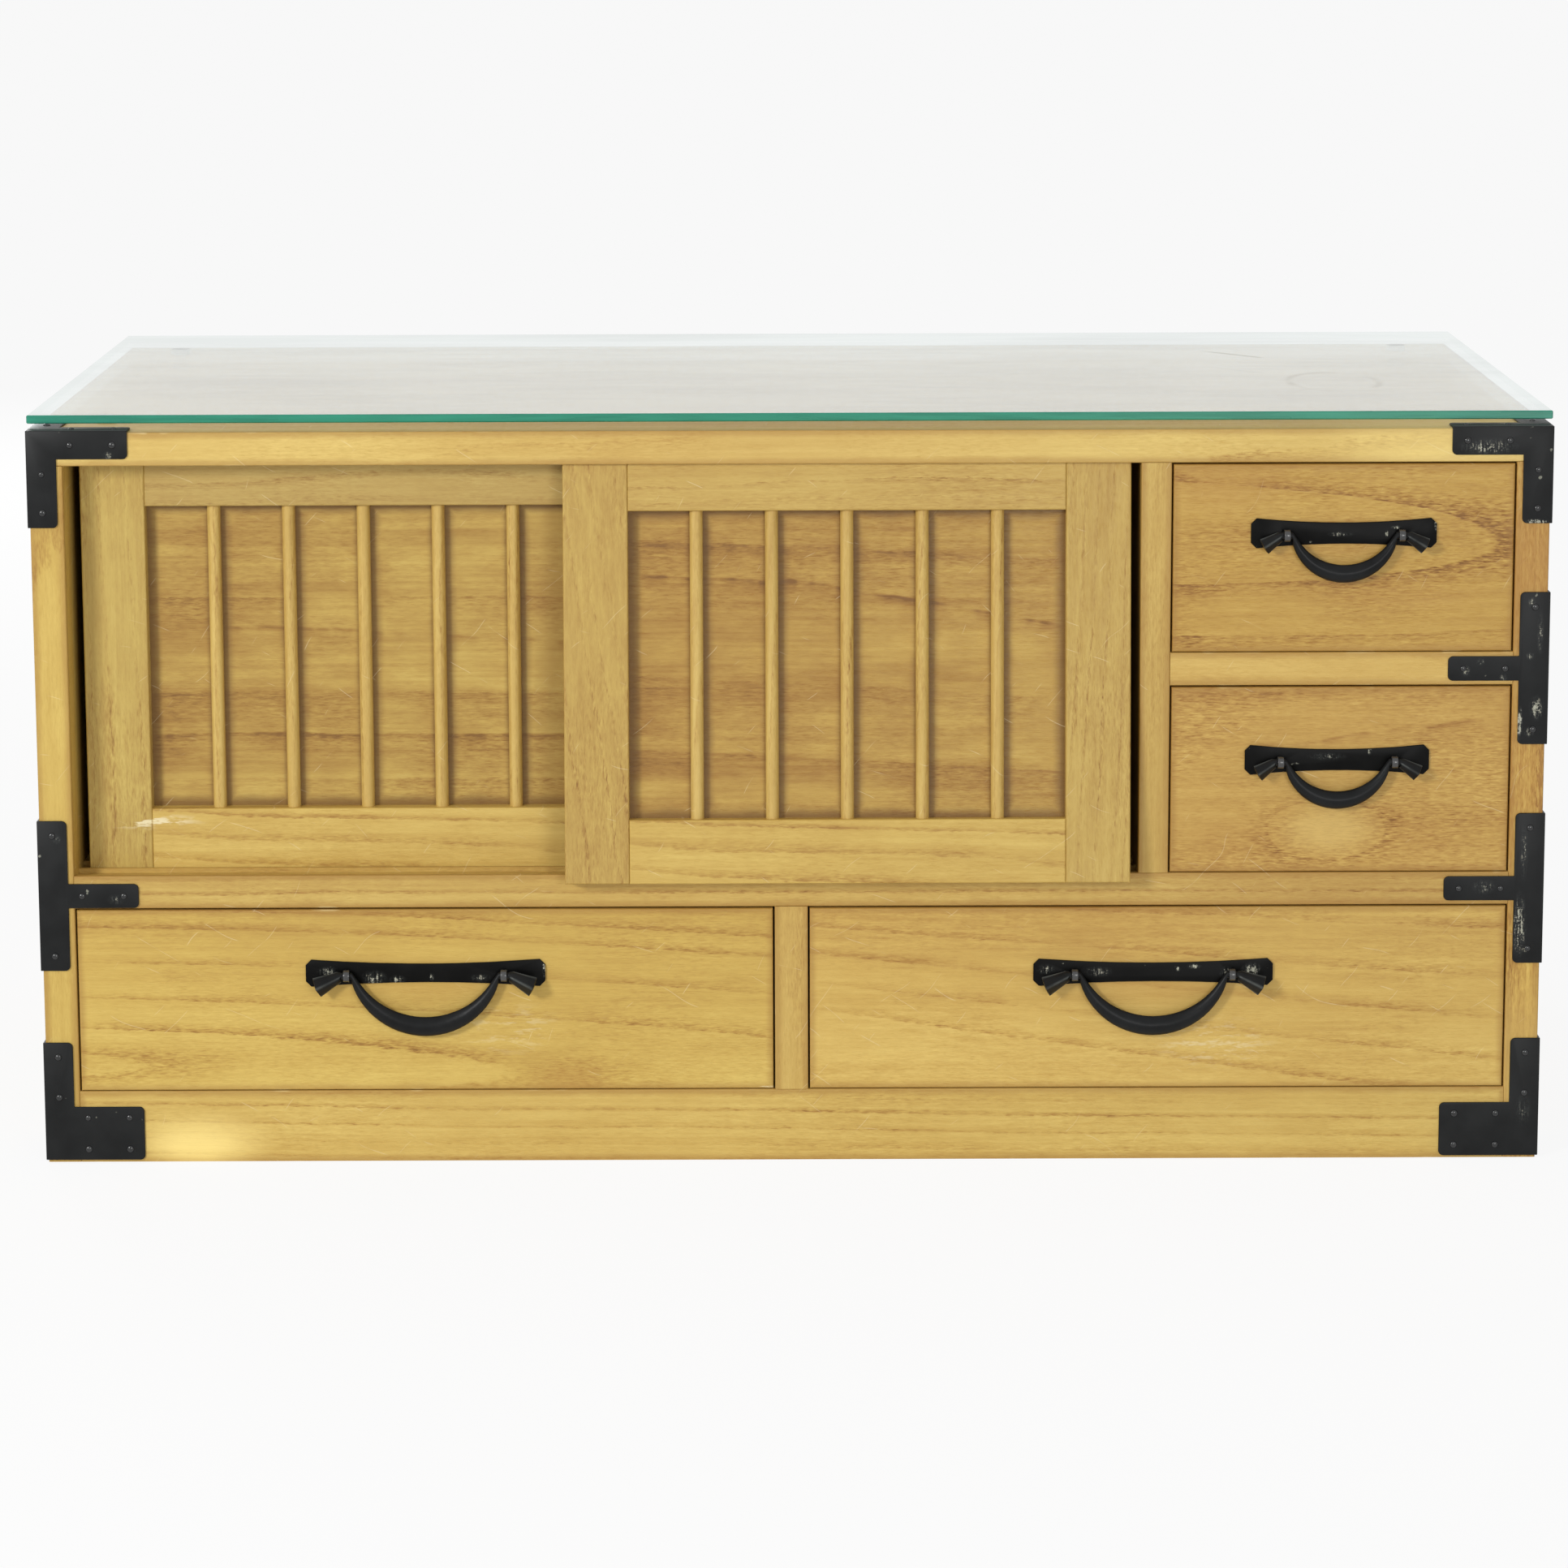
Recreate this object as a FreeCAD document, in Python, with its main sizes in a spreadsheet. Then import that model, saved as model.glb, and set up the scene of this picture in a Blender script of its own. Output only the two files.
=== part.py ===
import FreeCAD, Part
import math
import os
import re
import Sketcher
from FreeCAD import Placement, Rotation, Vector

# A low wooden chest with two sliding doors, two small drawers and two wide drawers,
# iron corner pieces and drop handles, and a loose sheet of glass on top.
# Millimetres. X runs along the front, Y from the front to the back, Z up from the floor.
# The origin is on the floor, under the middle of the whole thing.

SIZES = {
    # Carcass boards, from the floor up and from the sides in
    "width": 900,
    "depth": 450,
    "height": 445,
    "side_thick": 20,
    "plinth_high": 44,
    "plinth_thick": 18,
    "lower_bay_high": 113,
    "middle_thick": 20,
    "drawer_shelf_thick": 20,
    "top_thick": 20,
    "small_bay_wide": 204,
    "upper_divider_thick": 18,
    "lower_divider_thick": 20,
    "bottom_thick": 12,
    "back_thick": 4,
    "back_rebate": 6,
    "back_foot": 8,
    "tongue_deep": 5,
    "tongue_setback": 30,
    "edge_round": 1,
    # Door tracks: grooves in the middle shelf and under the top
    "track_land": 4,
    "track_clear": 1,
    "track_between": 3,
    "lower_track_deep": 2.8,
    "upper_track_deep": 12,
    # Sliding doors
    "door_overlap": 36,
    "door_thick": 16,
    "door_top_spare": 3.6,
    "stile_wide": 38.5,
    "bottom_rail_high": 38.5,
    "top_rail_high": 36,
    "door_panel_thick": 4,
    "door_panel_setback": 9.5,
    "door_panel_groove": 5,
    "slat_wide": 7.8,
    "slat_deep": 7,
    "slat_margin": 40.5,
    "left_door_gap": 6,
    "right_door_gap": 5.8,
    "foot_gap": 0.3,
    "foot_drop": 3.6,
    # Drawers
    "drawer_gap": 1,
    "drawer_front_lift": 0.4,
    "run_gap": 0.3,
    "drawer_front_thick": 18,
    "drawer_side_thick": 9,
    "drawer_lap": 8,
    "drawer_side_drop": 3,
    "drawer_bottom_thick": 6,
    "drawer_back_gap": 1,
    "drawer_round": 1.2,
    # Drop handles, a wide one and a small one
    "wide_plate_long": 144,
    "wide_plate_high": 16.5,
    "wide_plate_waist": 11.2,
    "wide_eye_pitch": 94.5,
    "wide_bail_drop": 31.4,
    "wide_belly_half": 5.9,
    "wide_flare_reach": 17.7,
    "wide_flare_half": 6.3,
    "small_plate_long": 110,
    "small_plate_high": 18,
    "small_plate_waist": 12.6,
    "small_eye_pitch": 68,
    "small_bail_drop": 23,
    "small_belly_half": 5.3,
    "small_flare_reach": 13.8,
    "small_flare_half": 5.1,
    "plate_thick": 1.5,
    "plate_corner": 3.3,
    "plate_raise": 0.8,
    "neck_half": 2.1,
    "eye_clear": 0.3,
    "eye_wall": 1.2,
    "eye_wide": 3.7,
    "eye_leg_long": 11,
    "belly_gap": 1.2,
    "flare_drop": 6.2,
    "flare_gap": 1.1,
    # Where each handle was nailed: how far above and left of the middle of its front
    "left_drawer_rise": 15.8,
    "left_drawer_shift": 0,
    "right_drawer_rise": 14.9,
    "right_drawer_shift": 2.5,
    "small_top_drawer_rise": 14,
    "small_top_drawer_shift": 0,
    "small_low_drawer_rise": 11.2,
    "small_low_drawer_shift": 2,
    # Iron corner and side pieces
    "iron": 1.3,
    "arm_reach": 60,
    "post_margin": 3.5,
    "top_arm_margin": 4.3,
    "top_post_high": 58,
    "side_arm_margin": 2.6,
    "side_post_high": 92,
    "left_arm_lower": 2,
    "foot_arm_margin": 9.5,
    "foot_post_high": 73,
    "foot_lift": 1.5,
    "iron_corner_round": 3,
    "nail_half": 2.1,
    "nail_high": 1,
    "nail_inset": 9,
    "nail_first": 26,
    "foot_nail_spread": 19.5,
    "foot_nail_step": 25,
    # Glass and its pads
    "glass_thick": 5,
    "glass_arris": 0.6,
    "glass_overhang": 3,
    "glass_setback": 15,
    "pad_high": 3.5,
    "pad_half": 6,
    "pad_inset": 38,
    # How far a cutting shape runs past the face that it cuts
    "overrun": 2,
}

WORKED_OUT = {
    "half_wide": "width / 2",
    "inner_half": "half_wide - side_thick",
    "divider_right": "inner_half - small_bay_wide",
    "divider_left": "divider_right - upper_divider_thick",
    "bay_wide": "divider_left + inner_half",
    "middle_low": "plinth_high + lower_bay_high",
    "middle_top": "middle_low + middle_thick",
    "top_low": "height - top_thick",
    "small_bay_high": "(top_low - middle_top - drawer_shelf_thick) / 2",
    "shelf_low": "middle_top + small_bay_high",
    "shelf_top": "shelf_low + drawer_shelf_thick",
    "bottom_low": "plinth_high - bottom_thick",
    "front_reach": "foot_gap + door_thick",
    "front_y": "(front_reach - depth) / 2",
    "back_y": "front_y + depth",
    "panel_front": "back_y - back_thick",
    "track_wide": "door_thick + track_clear",
    "tongue_front": "front_y + tongue_setback",
    "door_wide": "(bay_wide + door_overlap) / 2",
    "door_seat": "middle_top - lower_track_deep + run_gap",
    "door_high": "top_low + upper_track_deep - door_top_spare - door_seat",
    "door_hole_wide": "door_wide - 2 * stile_wide",
    "slat_pitch": "(door_hole_wide - 2 * slat_margin) / 4",
    "rear_track": "front_y + track_land + track_wide + track_between",
    "left_door_x": "left_door_gap - inner_half",
    "left_door_y": "rear_track + (track_wide + door_thick) / 2",
    "right_door_x": "divider_left - right_door_gap - door_wide",
    "right_door_y": "front_y - foot_gap",
    "right_door_z": "middle_top - foot_drop",
    "lean_rise": "(top_low + right_door_z + door_high) / 2 - right_door_z",
    "lean_run": "track_land + (track_wide + door_thick) / 2 + foot_gap",
    "lean": "atan(lean_run / lean_rise)",
    "eye_out": "plate_thick + neck_half + eye_clear + eye_wall",
    "belly_thick_half": "eye_out - belly_gap",
    "post_wide": "side_thick + iron - post_margin",
    "top_arm_high": "top_thick + iron - top_arm_margin",
    "foot_arm_high": "plinth_high - foot_lift - foot_arm_margin",
    "left_arm_middle": "(middle_low + middle_top) / 2 - left_arm_lower",
}

doc = FreeCAD.newDocument("tansu")
sheet = doc.addObject("Spreadsheet::Sheet", "Sizes")
for row, (alias, number) in enumerate(SIZES.items(), 1):
    sheet.set(f"A{row}", alias)
    sheet.set(f"B{row}", str(number))
    sheet.setAlias(f"B{row}", alias)
for row, (alias, words) in enumerate(WORKED_OUT.items(), 1):
    sheet.set(f"C{row}", alias)
    sheet.set(f"D{row}", "=" + words)
    sheet.setAlias(f"D{row}", alias)
doc.recompute()

NODES = {}
SAME_LEVEL = 1e-4


def formula(words):
    """Points each size's name in a formula at its cell of the sheet."""
    known = SIZES.keys() | WORKED_OUT.keys()
    return re.sub(r"[a-z_]+", lambda m: "Sizes." + m[0] if m[0] in known else m[0], words)


def size(alias):
    """The number that a cell holds."""
    number = sheet.get(alias)
    return getattr(number, "Value", number)


def worth(words):
    """The number that a formula comes to."""
    number = sheet.evalExpression(formula(words))
    return float(getattr(number, "Value", number))


def new_body(name):
    """An empty body that the features of one piece go into."""
    body = doc.addObject("PartDesign::Body", name)
    body.Label = name
    return body


def block(body, kind, across, deep, high):
    """Adds or cuts a block, given where it starts and ends along X, Y and Z."""
    box = body.newObject(f"PartDesign::{kind}Box", f"{body.Name}_block")
    spans = (("x", "Length", across), ("y", "Width", deep), ("z", "Height", high))
    for axis, side, (start, end) in spans:
        box.setExpression(side, formula(f"({end}) - ({start})"))
        box.setExpression(f"Placement.Base.{axis}", formula(start))
    doc.recompute()
    return box


def round_bar(body, kind, radius, across, deep, high, along):
    """Adds or cuts a round bar along X or Z from the middle of its first end."""
    bar = body.newObject(f"PartDesign::{kind}Cylinder", f"{body.Name}_bar")
    spans = {"x": across, "y": deep, "z": high}
    if along == "x":
        bar.Placement = Placement(Vector(), Rotation(Vector(0, 1, 0), 90))
    for axis, span in spans.items():
        start = span[0] if axis == along else span
        bar.setExpression(f"Placement.Base.{axis}", formula(start))
    start, end = spans[along]
    bar.setExpression("Radius", formula(radius))
    bar.setExpression("Height", formula(f"({end}) - ({start})"))
    doc.recompute()
    return bar


def edges_at(shape, **levels):
    """Names of the straight edges that lie wholly at the given x, y or z levels."""
    names = []
    for number, edge in enumerate(shape.Edges, 1):
        ends = [vertex.Point for vertex in edge.Vertexes]
        flat = all(abs(getattr(end, axis) - level) < SAME_LEVEL
                   for end in ends for axis, level in levels.items())
        if flat and isinstance(edge.Curve, Part.Line):
            names.append(f"Edge{number}")
    return names


def rounded(body, names, radius):
    """Rounds the named edges of what the body holds so far."""
    so_far = body.Tip
    fillet = body.newObject("PartDesign::Fillet", f"{body.Name}_round")
    fillet.Base = (so_far, names)
    fillet.setExpression("Radius", formula(radius))
    doc.recompute()
    return fillet


def keep(piece, label=None):
    """Puts a finished piece on the list of nodes, under its label."""
    if label:
        piece.Label = label
    NODES[piece.Label] = piece
    return piece


def group(label, pieces):
    """Several alike solids kept as one node."""
    several = doc.addObject("Part::Compound", label)
    several.Links = pieces
    doc.recompute()
    return keep(several, label)


def place(piece, x="0", y="0", z="0", turn=None):
    """Sets where a piece modelled in a frame of its own lies, turned about X if asked."""
    for axis, words in zip("xyz", (x, y, z)):
        piece.setExpression(f"Placement.Base.{axis}", formula(words))
    if turn:
        piece.Placement = Placement(piece.Placement.Base, Rotation(Vector(1, 0, 0), 1))
        piece.setExpression("Placement.Rotation.Angle", formula(turn))


# Carcass: the boards of the case, tongued into each other behind the front edge

FULL_DEPTH = ("front_y", "panel_front")
TONGUE = ("tongue_front", "panel_front")


def front_edges_rounded(body, **levels):
    """Softens a board's front edges at the given levels of x or z."""
    shape = body.Shape
    names = []
    for axis, words in levels.items():
        for level in words:
            names += edges_at(shape, y=size("front_y"), **{axis: worth(level)})
    rounded(body, sorted(set(names)), "edge_round")


def make_top_board():
    top = new_body("top_board")
    block(top, "Additive", ("-half_wide", "half_wide"), ("front_y", "back_y"), ("top_low", "height"))
    for inner, outer in (("-half_wide + side_thick / 2", "-inner_half"),
                         ("inner_half", "half_wide - side_thick / 2")):
        block(top, "Subtractive", (inner, outer), ("tongue_front", "back_y + overrun"),
              ("top_low - overrun", "top_low + tongue_deep"))
    block(top, "Subtractive", ("divider_left", "divider_right"), TONGUE,
          ("top_low - overrun", "top_low + tongue_deep"))
    for start in ("front_y + track_land", "rear_track"):
        block(top, "Subtractive", ("-inner_half", "divider_left"), (start, start + " + track_wide"),
              ("top_low - overrun", "top_low + upper_track_deep"))
    block(top, "Subtractive", ("-inner_half - back_rebate", "inner_half + back_rebate"),
          ("panel_front", "back_y + overrun"), ("top_low - overrun", "top_low + back_rebate"))
    front_edges_rounded(top, z=("top_low", "height"))
    keep(top)


def make_side(name, outer, inner, middle, rebate, housings, reach):
    """An upright side: housings for the shelves, a rebate for the back, a tongue on top."""
    side = new_body(name)
    across = sorted((outer, inner), key=worth)
    block(side, "Additive", across, ("front_y", "back_y"), ("0", "top_low"))
    block(side, "Additive", sorted((middle, inner), key=worth), ("tongue_front", "back_y"),
          ("top_low", "top_low + tongue_deep"))
    block(side, "Subtractive", sorted((rebate, reach), key=worth), ("panel_front", "back_y + overrun"),
          ("back_foot", "top_low + tongue_deep + overrun"))
    for low, high, start, bottom in housings:
        block(side, "Subtractive", sorted((bottom, reach), key=worth), (start, "panel_front"), (low, high))
    front_edges_rounded(side, x=(outer, inner))
    keep(side)


def make_sides():
    middle_housing = ("middle_low", "middle_top", "tongue_front")
    bottom_housing = ("bottom_low", "plinth_high", "front_y + plinth_thick")
    shelf_housing = ("shelf_low", "shelf_top", "tongue_front")
    left = "-inner_half - tongue_deep"
    right = "inner_half + tongue_deep"
    make_side("left_side", "-half_wide", "-inner_half", "-half_wide + side_thick / 2",
              "-inner_half - back_rebate",
              [middle_housing + (left,), bottom_housing + (left,)], "-inner_half + overrun")
    make_side("right_side", "half_wide", "inner_half", "half_wide - side_thick / 2",
              "inner_half + back_rebate",
              [middle_housing + (right,), bottom_housing + (right,), shelf_housing + (right,)],
              "inner_half - overrun")


def make_middle_shelf():
    shelf = new_body("middle_shelf")
    high = ("middle_low", "middle_top")
    block(shelf, "Additive", ("-inner_half", "inner_half"), FULL_DEPTH, high)
    block(shelf, "Additive", ("-inner_half - tongue_deep", "inner_half + tongue_deep"), TONGUE, high)
    for start in ("front_y + track_land", "rear_track"):
        block(shelf, "Subtractive", ("-inner_half", "divider_left"), (start, start + " + track_wide"),
              ("middle_top - lower_track_deep", "middle_top + overrun"))
    block(shelf, "Subtractive", ("divider_left", "divider_right"), TONGUE,
          ("middle_top - tongue_deep", "middle_top + overrun"))
    block(shelf, "Subtractive", ("-lower_divider_thick / 2", "lower_divider_thick / 2"), TONGUE,
          ("middle_low - overrun", "middle_low + tongue_deep"))
    front_edges_rounded(shelf, z=("middle_low", "middle_top"))
    keep(shelf)


def make_divider(name, left, right, low, high):
    """An upright between two boards, tongued into both."""
    divider = new_body(name)
    block(divider, "Additive", (left, right), FULL_DEPTH, (low, high))
    block(divider, "Additive", (left, right), TONGUE, (low + " - tongue_deep", high + " + tongue_deep"))
    return divider


def make_dividers():
    upper = make_divider("upper_divider", "divider_left", "divider_right", "middle_top", "top_low")
    block(upper, "Subtractive", ("divider_right - tongue_deep", "divider_right + overrun"), TONGUE,
          ("shelf_low", "shelf_top"))
    front_edges_rounded(upper, x=("divider_left", "divider_right"))
    keep(upper)
    lower = make_divider("lower_divider", "-lower_divider_thick / 2", "lower_divider_thick / 2",
                         "plinth_high", "middle_low")
    front_edges_rounded(lower, x=("-lower_divider_thick / 2", "lower_divider_thick / 2"))
    keep(lower)


def make_drawer_shelf():
    shelf = new_body("drawer_shelf")
    high = ("shelf_low", "shelf_top")
    block(shelf, "Additive", ("divider_right", "inner_half"), FULL_DEPTH, high)
    block(shelf, "Additive", ("divider_right - tongue_deep", "inner_half + tongue_deep"), TONGUE, high)
    front_edges_rounded(shelf, z=high)
    keep(shelf)


def make_base():
    bottom = new_body("bottom_board")
    block(bottom, "Additive", ("-inner_half - tongue_deep", "inner_half + tongue_deep"),
          ("front_y + plinth_thick", "panel_front"), ("bottom_low", "plinth_high"))
    block(bottom, "Subtractive", ("-lower_divider_thick / 2", "lower_divider_thick / 2"), TONGUE,
          ("plinth_high - tongue_deep", "plinth_high + overrun"))
    keep(bottom)
    plinth = new_body("plinth_rail")
    block(plinth, "Additive", ("-inner_half", "inner_half"), ("front_y", "front_y + plinth_thick"),
          ("0", "plinth_high"))
    front_edges_rounded(plinth, z=("plinth_high",))
    keep(plinth)
    rail = new_body("back_rail")
    block(rail, "Additive", ("-inner_half", "inner_half"), ("panel_front - plinth_thick", "panel_front"),
          ("0", "bottom_low"))
    keep(rail)
    back = new_body("back_panel")
    block(back, "Additive", ("-inner_half - back_rebate", "inner_half + back_rebate"),
          ("panel_front", "back_y"), ("back_foot", "top_low + back_rebate"))
    keep(back)


# Doors: a frame with a panel let into it and half-round slats on the panel.
# Each piece is modelled in the door's own frame, whose origin is the lower rear left corner.


def make_door(name, x, y, z, turn):
    def piece(part, across, deep, high, groove=None, soften=True):
        body = new_body(f"{name}_{part}")
        block(body, "Additive", across, deep, high)
        if groove:
            block(body, "Subtractive", *groove)
        if soften:
            front = edges_at(body.Shape, y=-size("door_thick"))
            rounded(body, front, "edge_round")
        return body

    whole = ("-door_thick", "0")
    let_in = ("door_panel_setback - door_thick", "door_panel_setback + door_panel_thick - door_thick")
    slot = ("bottom_rail_high - door_panel_groove", "door_high - top_rail_high + door_panel_groove")
    right = "door_wide - stile_wide"
    stiles = [
        piece("left_stile", ("0", "stile_wide"), whole, ("0", "door_high"),
              (("stile_wide - door_panel_groove", "stile_wide + overrun"), let_in, slot)),
        piece("right_stile", (right, "door_wide"), whole, ("0", "door_high"),
              ((right + " - overrun", right + " + door_panel_groove"), let_in, slot)),
    ]
    between = ("stile_wide", right)
    past = ("stile_wide - overrun", right + " + overrun")
    bottom = piece("bottom_rail", between, whole, ("0", "bottom_rail_high"),
                   (past, let_in, ("bottom_rail_high - door_panel_groove", "bottom_rail_high + overrun")))
    top_low = "door_high - top_rail_high"
    top = piece("top_rail", between, whole, (top_low, "door_high"),
                (past, let_in, (top_low + " - overrun", top_low + " + door_panel_groove")))
    panel = piece("panel", ("stile_wide - door_panel_groove", right + " + door_panel_groove"), let_in,
                  slot, soften=False)
    seat = "door_panel_setback - door_thick"
    slats = []
    for number in range(-2, 3):
        middle = f"door_wide / 2 + {number} * slat_pitch"
        slat = new_body(f"{name}_slat")
        across = (middle + " - slat_wide / 2", middle + " + slat_wide / 2")
        long = ("bottom_rail_high", top_low)
        crown = f"{seat} - slat_deep + slat_wide / 2"
        round_bar(slat, "Additive", "slat_wide / 2", middle, crown, long, "z")
        block(slat, "Additive", across, (crown, f"{seat} + slat_wide"), long)
        block(slat, "Subtractive", across, (seat, f"{seat} + slat_wide + overrun"), long)
        slats.append(slat)
    done = [group(f"{name}_stiles", stiles), keep(bottom), keep(top), keep(panel),
            group(f"{name}_slats", slats)]
    for part in done:
        place(part, x, y, z, turn)


def make_doors():
    make_door("left_door", "left_door_x", "left_door_y", "door_seat", None)
    # This door is out of its lower track: its foot hangs in front of the rail and it leans back
    make_door("right_door", "right_door_x", "right_door_y", "right_door_z", "-lean")


# Drop handles: a waisted plate, two looped pins through the drawer front, a forged bail.
# Each is modelled about the middle of its pins, on the drawer's face.


def origin_plane(body, role):
    """One of the three planes that a body starts with."""
    return next(plane for plane in body.Origin.OriginFeatures if plane.Role == role)


def make_plate(drawer, kind):
    """The plate: chamfered corners, and long edges that draw in towards the middle."""
    body = new_body(f"{drawer}_handle_plate")
    sketch = body.newObject("Sketcher::SketchObject", f"{drawer}_plate_outline")
    sketch.AttachmentSupport = [(origin_plane(body, "XZ_Plane"), "")]
    sketch.MapMode = "FlatFace"
    end, half_high = f"{kind}_plate_long / 2", f"{kind}_plate_high / 2"
    rim, foot = f"plate_raise + {half_high}", f"plate_raise - {half_high}"
    corners = [(f"{end} - plate_corner", rim), (end, f"{rim} - plate_corner"),
               (end, f"{foot} + plate_corner"), (f"{end} - plate_corner", foot),
               (f"plate_corner - {end}", foot), (f"-{end}", f"{foot} + plate_corner"),
               (f"-{end}", f"{rim} - plate_corner"), (f"plate_corner - {end}", rim)]
    spots = [Vector(worth(across), worth(up)) for across, up in corners]
    raised, waist = size("plate_raise"), worth(f"{kind}_plate_waist / 2")
    count = len(corners)
    for number, spot in enumerate(spots):
        following = spots[(number + 1) % count]
        if abs(following.x - spot.x) > size("plate_corner") * 2:
            middle = Vector(0, raised + math.copysign(waist, spot.y - raised))
            edge = Part.Arc(spot, middle, following)
        else:
            edge = Part.LineSegment(spot, following)
        sketch.addGeometry(edge)
    for number, geometry in enumerate(sketch.Geometry):
        # An arc runs the other way round from the line that it stands for
        spot = spots[number]
        forward = (geometry.StartPoint - spot).Length < (geometry.EndPoint - spot).Length
        near, far = (1, 2) if forward else (2, 1)
        for kind_of, words in zip(("DistanceX", "DistanceY"), corners[number]):
            index = sketch.addConstraint(
                Sketcher.Constraint(kind_of, -1, 1, number, near, worth(words)))
            sketch.setExpression(f"Constraints[{index}]", formula(words))
        after = corners[(number + 1) % count]
        for kind_of, words in zip(("DistanceX", "DistanceY"), after):
            index = sketch.addConstraint(
                Sketcher.Constraint(kind_of, -1, 1, number, far, worth(words)))
            sketch.setExpression(f"Constraints[{index}]", formula(words))
        if isinstance(geometry, Part.ArcOfCircle):
            half, dip = f"({end} - plate_corner)", f"({half_high} - {kind}_plate_waist / 2)"
            words = f"({half} * {half} + {dip} * {dip}) / (2 * {dip})"
            index = sketch.addConstraint(Sketcher.Constraint("Radius", number, worth(words)))
            sketch.setExpression(f"Constraints[{index}]", formula(words))
    pad = body.newObject("PartDesign::Pad", f"{drawer}_plate_pad")
    pad.Profile = sketch
    pad.setExpression("Length", formula("plate_thick"))
    doc.recompute()
    for side in ("-", ""):
        block(body, "Subtractive", *eye_shank(side, kind, "overrun"))
    return body


def eye_shank(side, kind, spare="0"):
    """The flat shank of a looped pin: its spans, past the plate and the drawer front if asked."""
    middle = f"{side}{kind}_eye_pitch / 2"
    return ((f"{middle} - eye_wide / 2", f"{middle} + eye_wide / 2"),
            (f"-plate_thick - {spare}", f"drawer_front_thick + {spare}"), ("-eye_wall", "eye_wall"))


def make_eyes(drawer, kind):
    """Two split pins: a loop for the bail's neck, and two legs bent flat inside the drawer."""
    eyes = []
    for side in ("-", ""):
        body = new_body(f"{drawer}_eye")
        across, deep, high = eye_shank(side, kind)
        round_bar(body, "Additive", "neck_half + eye_clear + eye_wall", across, "-eye_out", "0", "x")
        block(body, "Additive", across, ("-eye_out", deep[1]), high)
        block(body, "Additive", across, ("drawer_front_thick", "drawer_front_thick + eye_wall"),
              ("-eye_leg_long", "eye_leg_long"))
        round_bar(body, "Subtractive", "neck_half + eye_clear",
                  (across[0] + " - overrun", across[1] + " + overrun"), "-eye_out", "0", "x")
        eyes.append(body)
    return group(f"{drawer}_handle_eyes", eyes)


BELLY_STATION_SHARES = (-1, -0.75, -0.5, -0.25, 0, 0.25, 0.5, 0.75, 1)
FLARE_ROOT_SHARE = 0.52
NECK_RUN_SHARE = 0.85
FORGED_SIDES = 8
NAIL_CROWN_SHARE = 0.55


def ring(middle, across, up, square=False):
    """Corners of an eight-sided ring, or of a square whose edges each have a point halfway."""
    corners = []
    for number in range(FORGED_SIDES):
        turn = 2 * math.pi * number / FORGED_SIDES
        reach = math.cos(math.pi / 4) if square and number % 2 else 1
        corners.append(middle + across * (reach * math.cos(turn)) + up * (reach * math.sin(turn)))
    return corners


def hammered(rings):
    """A solid of flat facets through rings of corners, closed at both ends."""
    faces = [Part.Face(Part.makePolygon(end + end[:1])) for end in (rings[0], rings[-1])]
    for near, far in zip(rings, rings[1:]):
        for number in range(FORGED_SIDES):
            following = (number + 1) % FORGED_SIDES
            corners = [near[number], near[following], far[following], far[number]]
            for facet in (corners[:3], corners[2:] + corners[:1]):
                faces.append(Part.Face(Part.makePolygon(facet + facet[:1])))
    solid = Part.makeSolid(Part.makeShell(faces))
    if solid.Volume < 0:
        solid.reverse()
    return solid.removeSplitter()


def bail_shape(kind):
    """The forged bail about its pivot line: necks in the eyes, a full belly, flared square ends."""
    neck = size("neck_half")
    pivot_half = size(f"{kind}_eye_pitch") / 2
    neck_run = size("eye_wide") * NECK_RUN_SHARE
    drop = size(f"{kind}_bail_drop")
    start = Vector(pivot_half - neck_run - neck, 0, -2 * neck)
    radius = (start.x ** 2 + (drop + start.z) ** 2) / (2 * (drop + start.z))
    half_turn = math.asin(start.x / radius)
    outward = Vector(0, -1, 0)
    up = Vector(0, 0, 1)

    def end_rings(side):
        flare = size(f"{kind}_flare_half")
        forward = worth(f"{kind}_flare_half + plate_thick + flare_gap - eye_out")
        reach, fall = size(f"{kind}_flare_reach"), size("flare_drop")
        tip = Vector(side * (pivot_half + reach), -forward, -fall)
        outer = Vector(side * (pivot_half + neck_run), 0, 0)
        root = outer + (tip - outer) * (neck / reach)
        inner = Vector(side * (pivot_half - neck_run), 0, 0)
        # The end is cut square to the way it points, out and down
        upright = Vector(side * fall, 0, reach - neck_run).normalize()
        return [ring(tip, outward * flare, upright * flare, square=True),
                ring(root, outward * (flare * FLARE_ROOT_SHARE), upright * (flare * FLARE_ROOT_SHARE),
                     square=True),
                ring(outer, outward * neck, up * neck), ring(inner, outward * neck, up * neck)]

    belly = []
    for share in BELLY_STATION_SHARES:
        turn = share * half_turn
        fullness = math.cos(share * math.pi / 2)
        inward = Vector(-math.sin(turn), 0, math.cos(turn))
        thick = neck + (size(f"{kind}_belly_half") - neck) * fullness
        wide = neck + (size("belly_thick_half") - neck) * fullness
        belly.append(ring(up * (radius - drop) - inward * radius, outward * wide, inward * thick))
    return hammered(end_rings(-1) + belly + end_rings(1)[::-1])


def make_handle(drawer, kind, middle):
    plate = keep(make_plate(drawer, kind))
    eyes = make_eyes(drawer, kind)
    bail = doc.addObject("Part::Feature", f"{drawer}_bail")
    bail.Shape = bail_shape(kind)
    keep(bail, f"{drawer}_bail")
    across, high = middle
    place(plate, across, "front_y", high)
    place(eyes, across, "front_y", high)
    place(bail, across, "front_y - eye_out", high)


# Drawers: a thick front, thin sides housed behind it, a back, and a bottom nailed up under them


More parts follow.
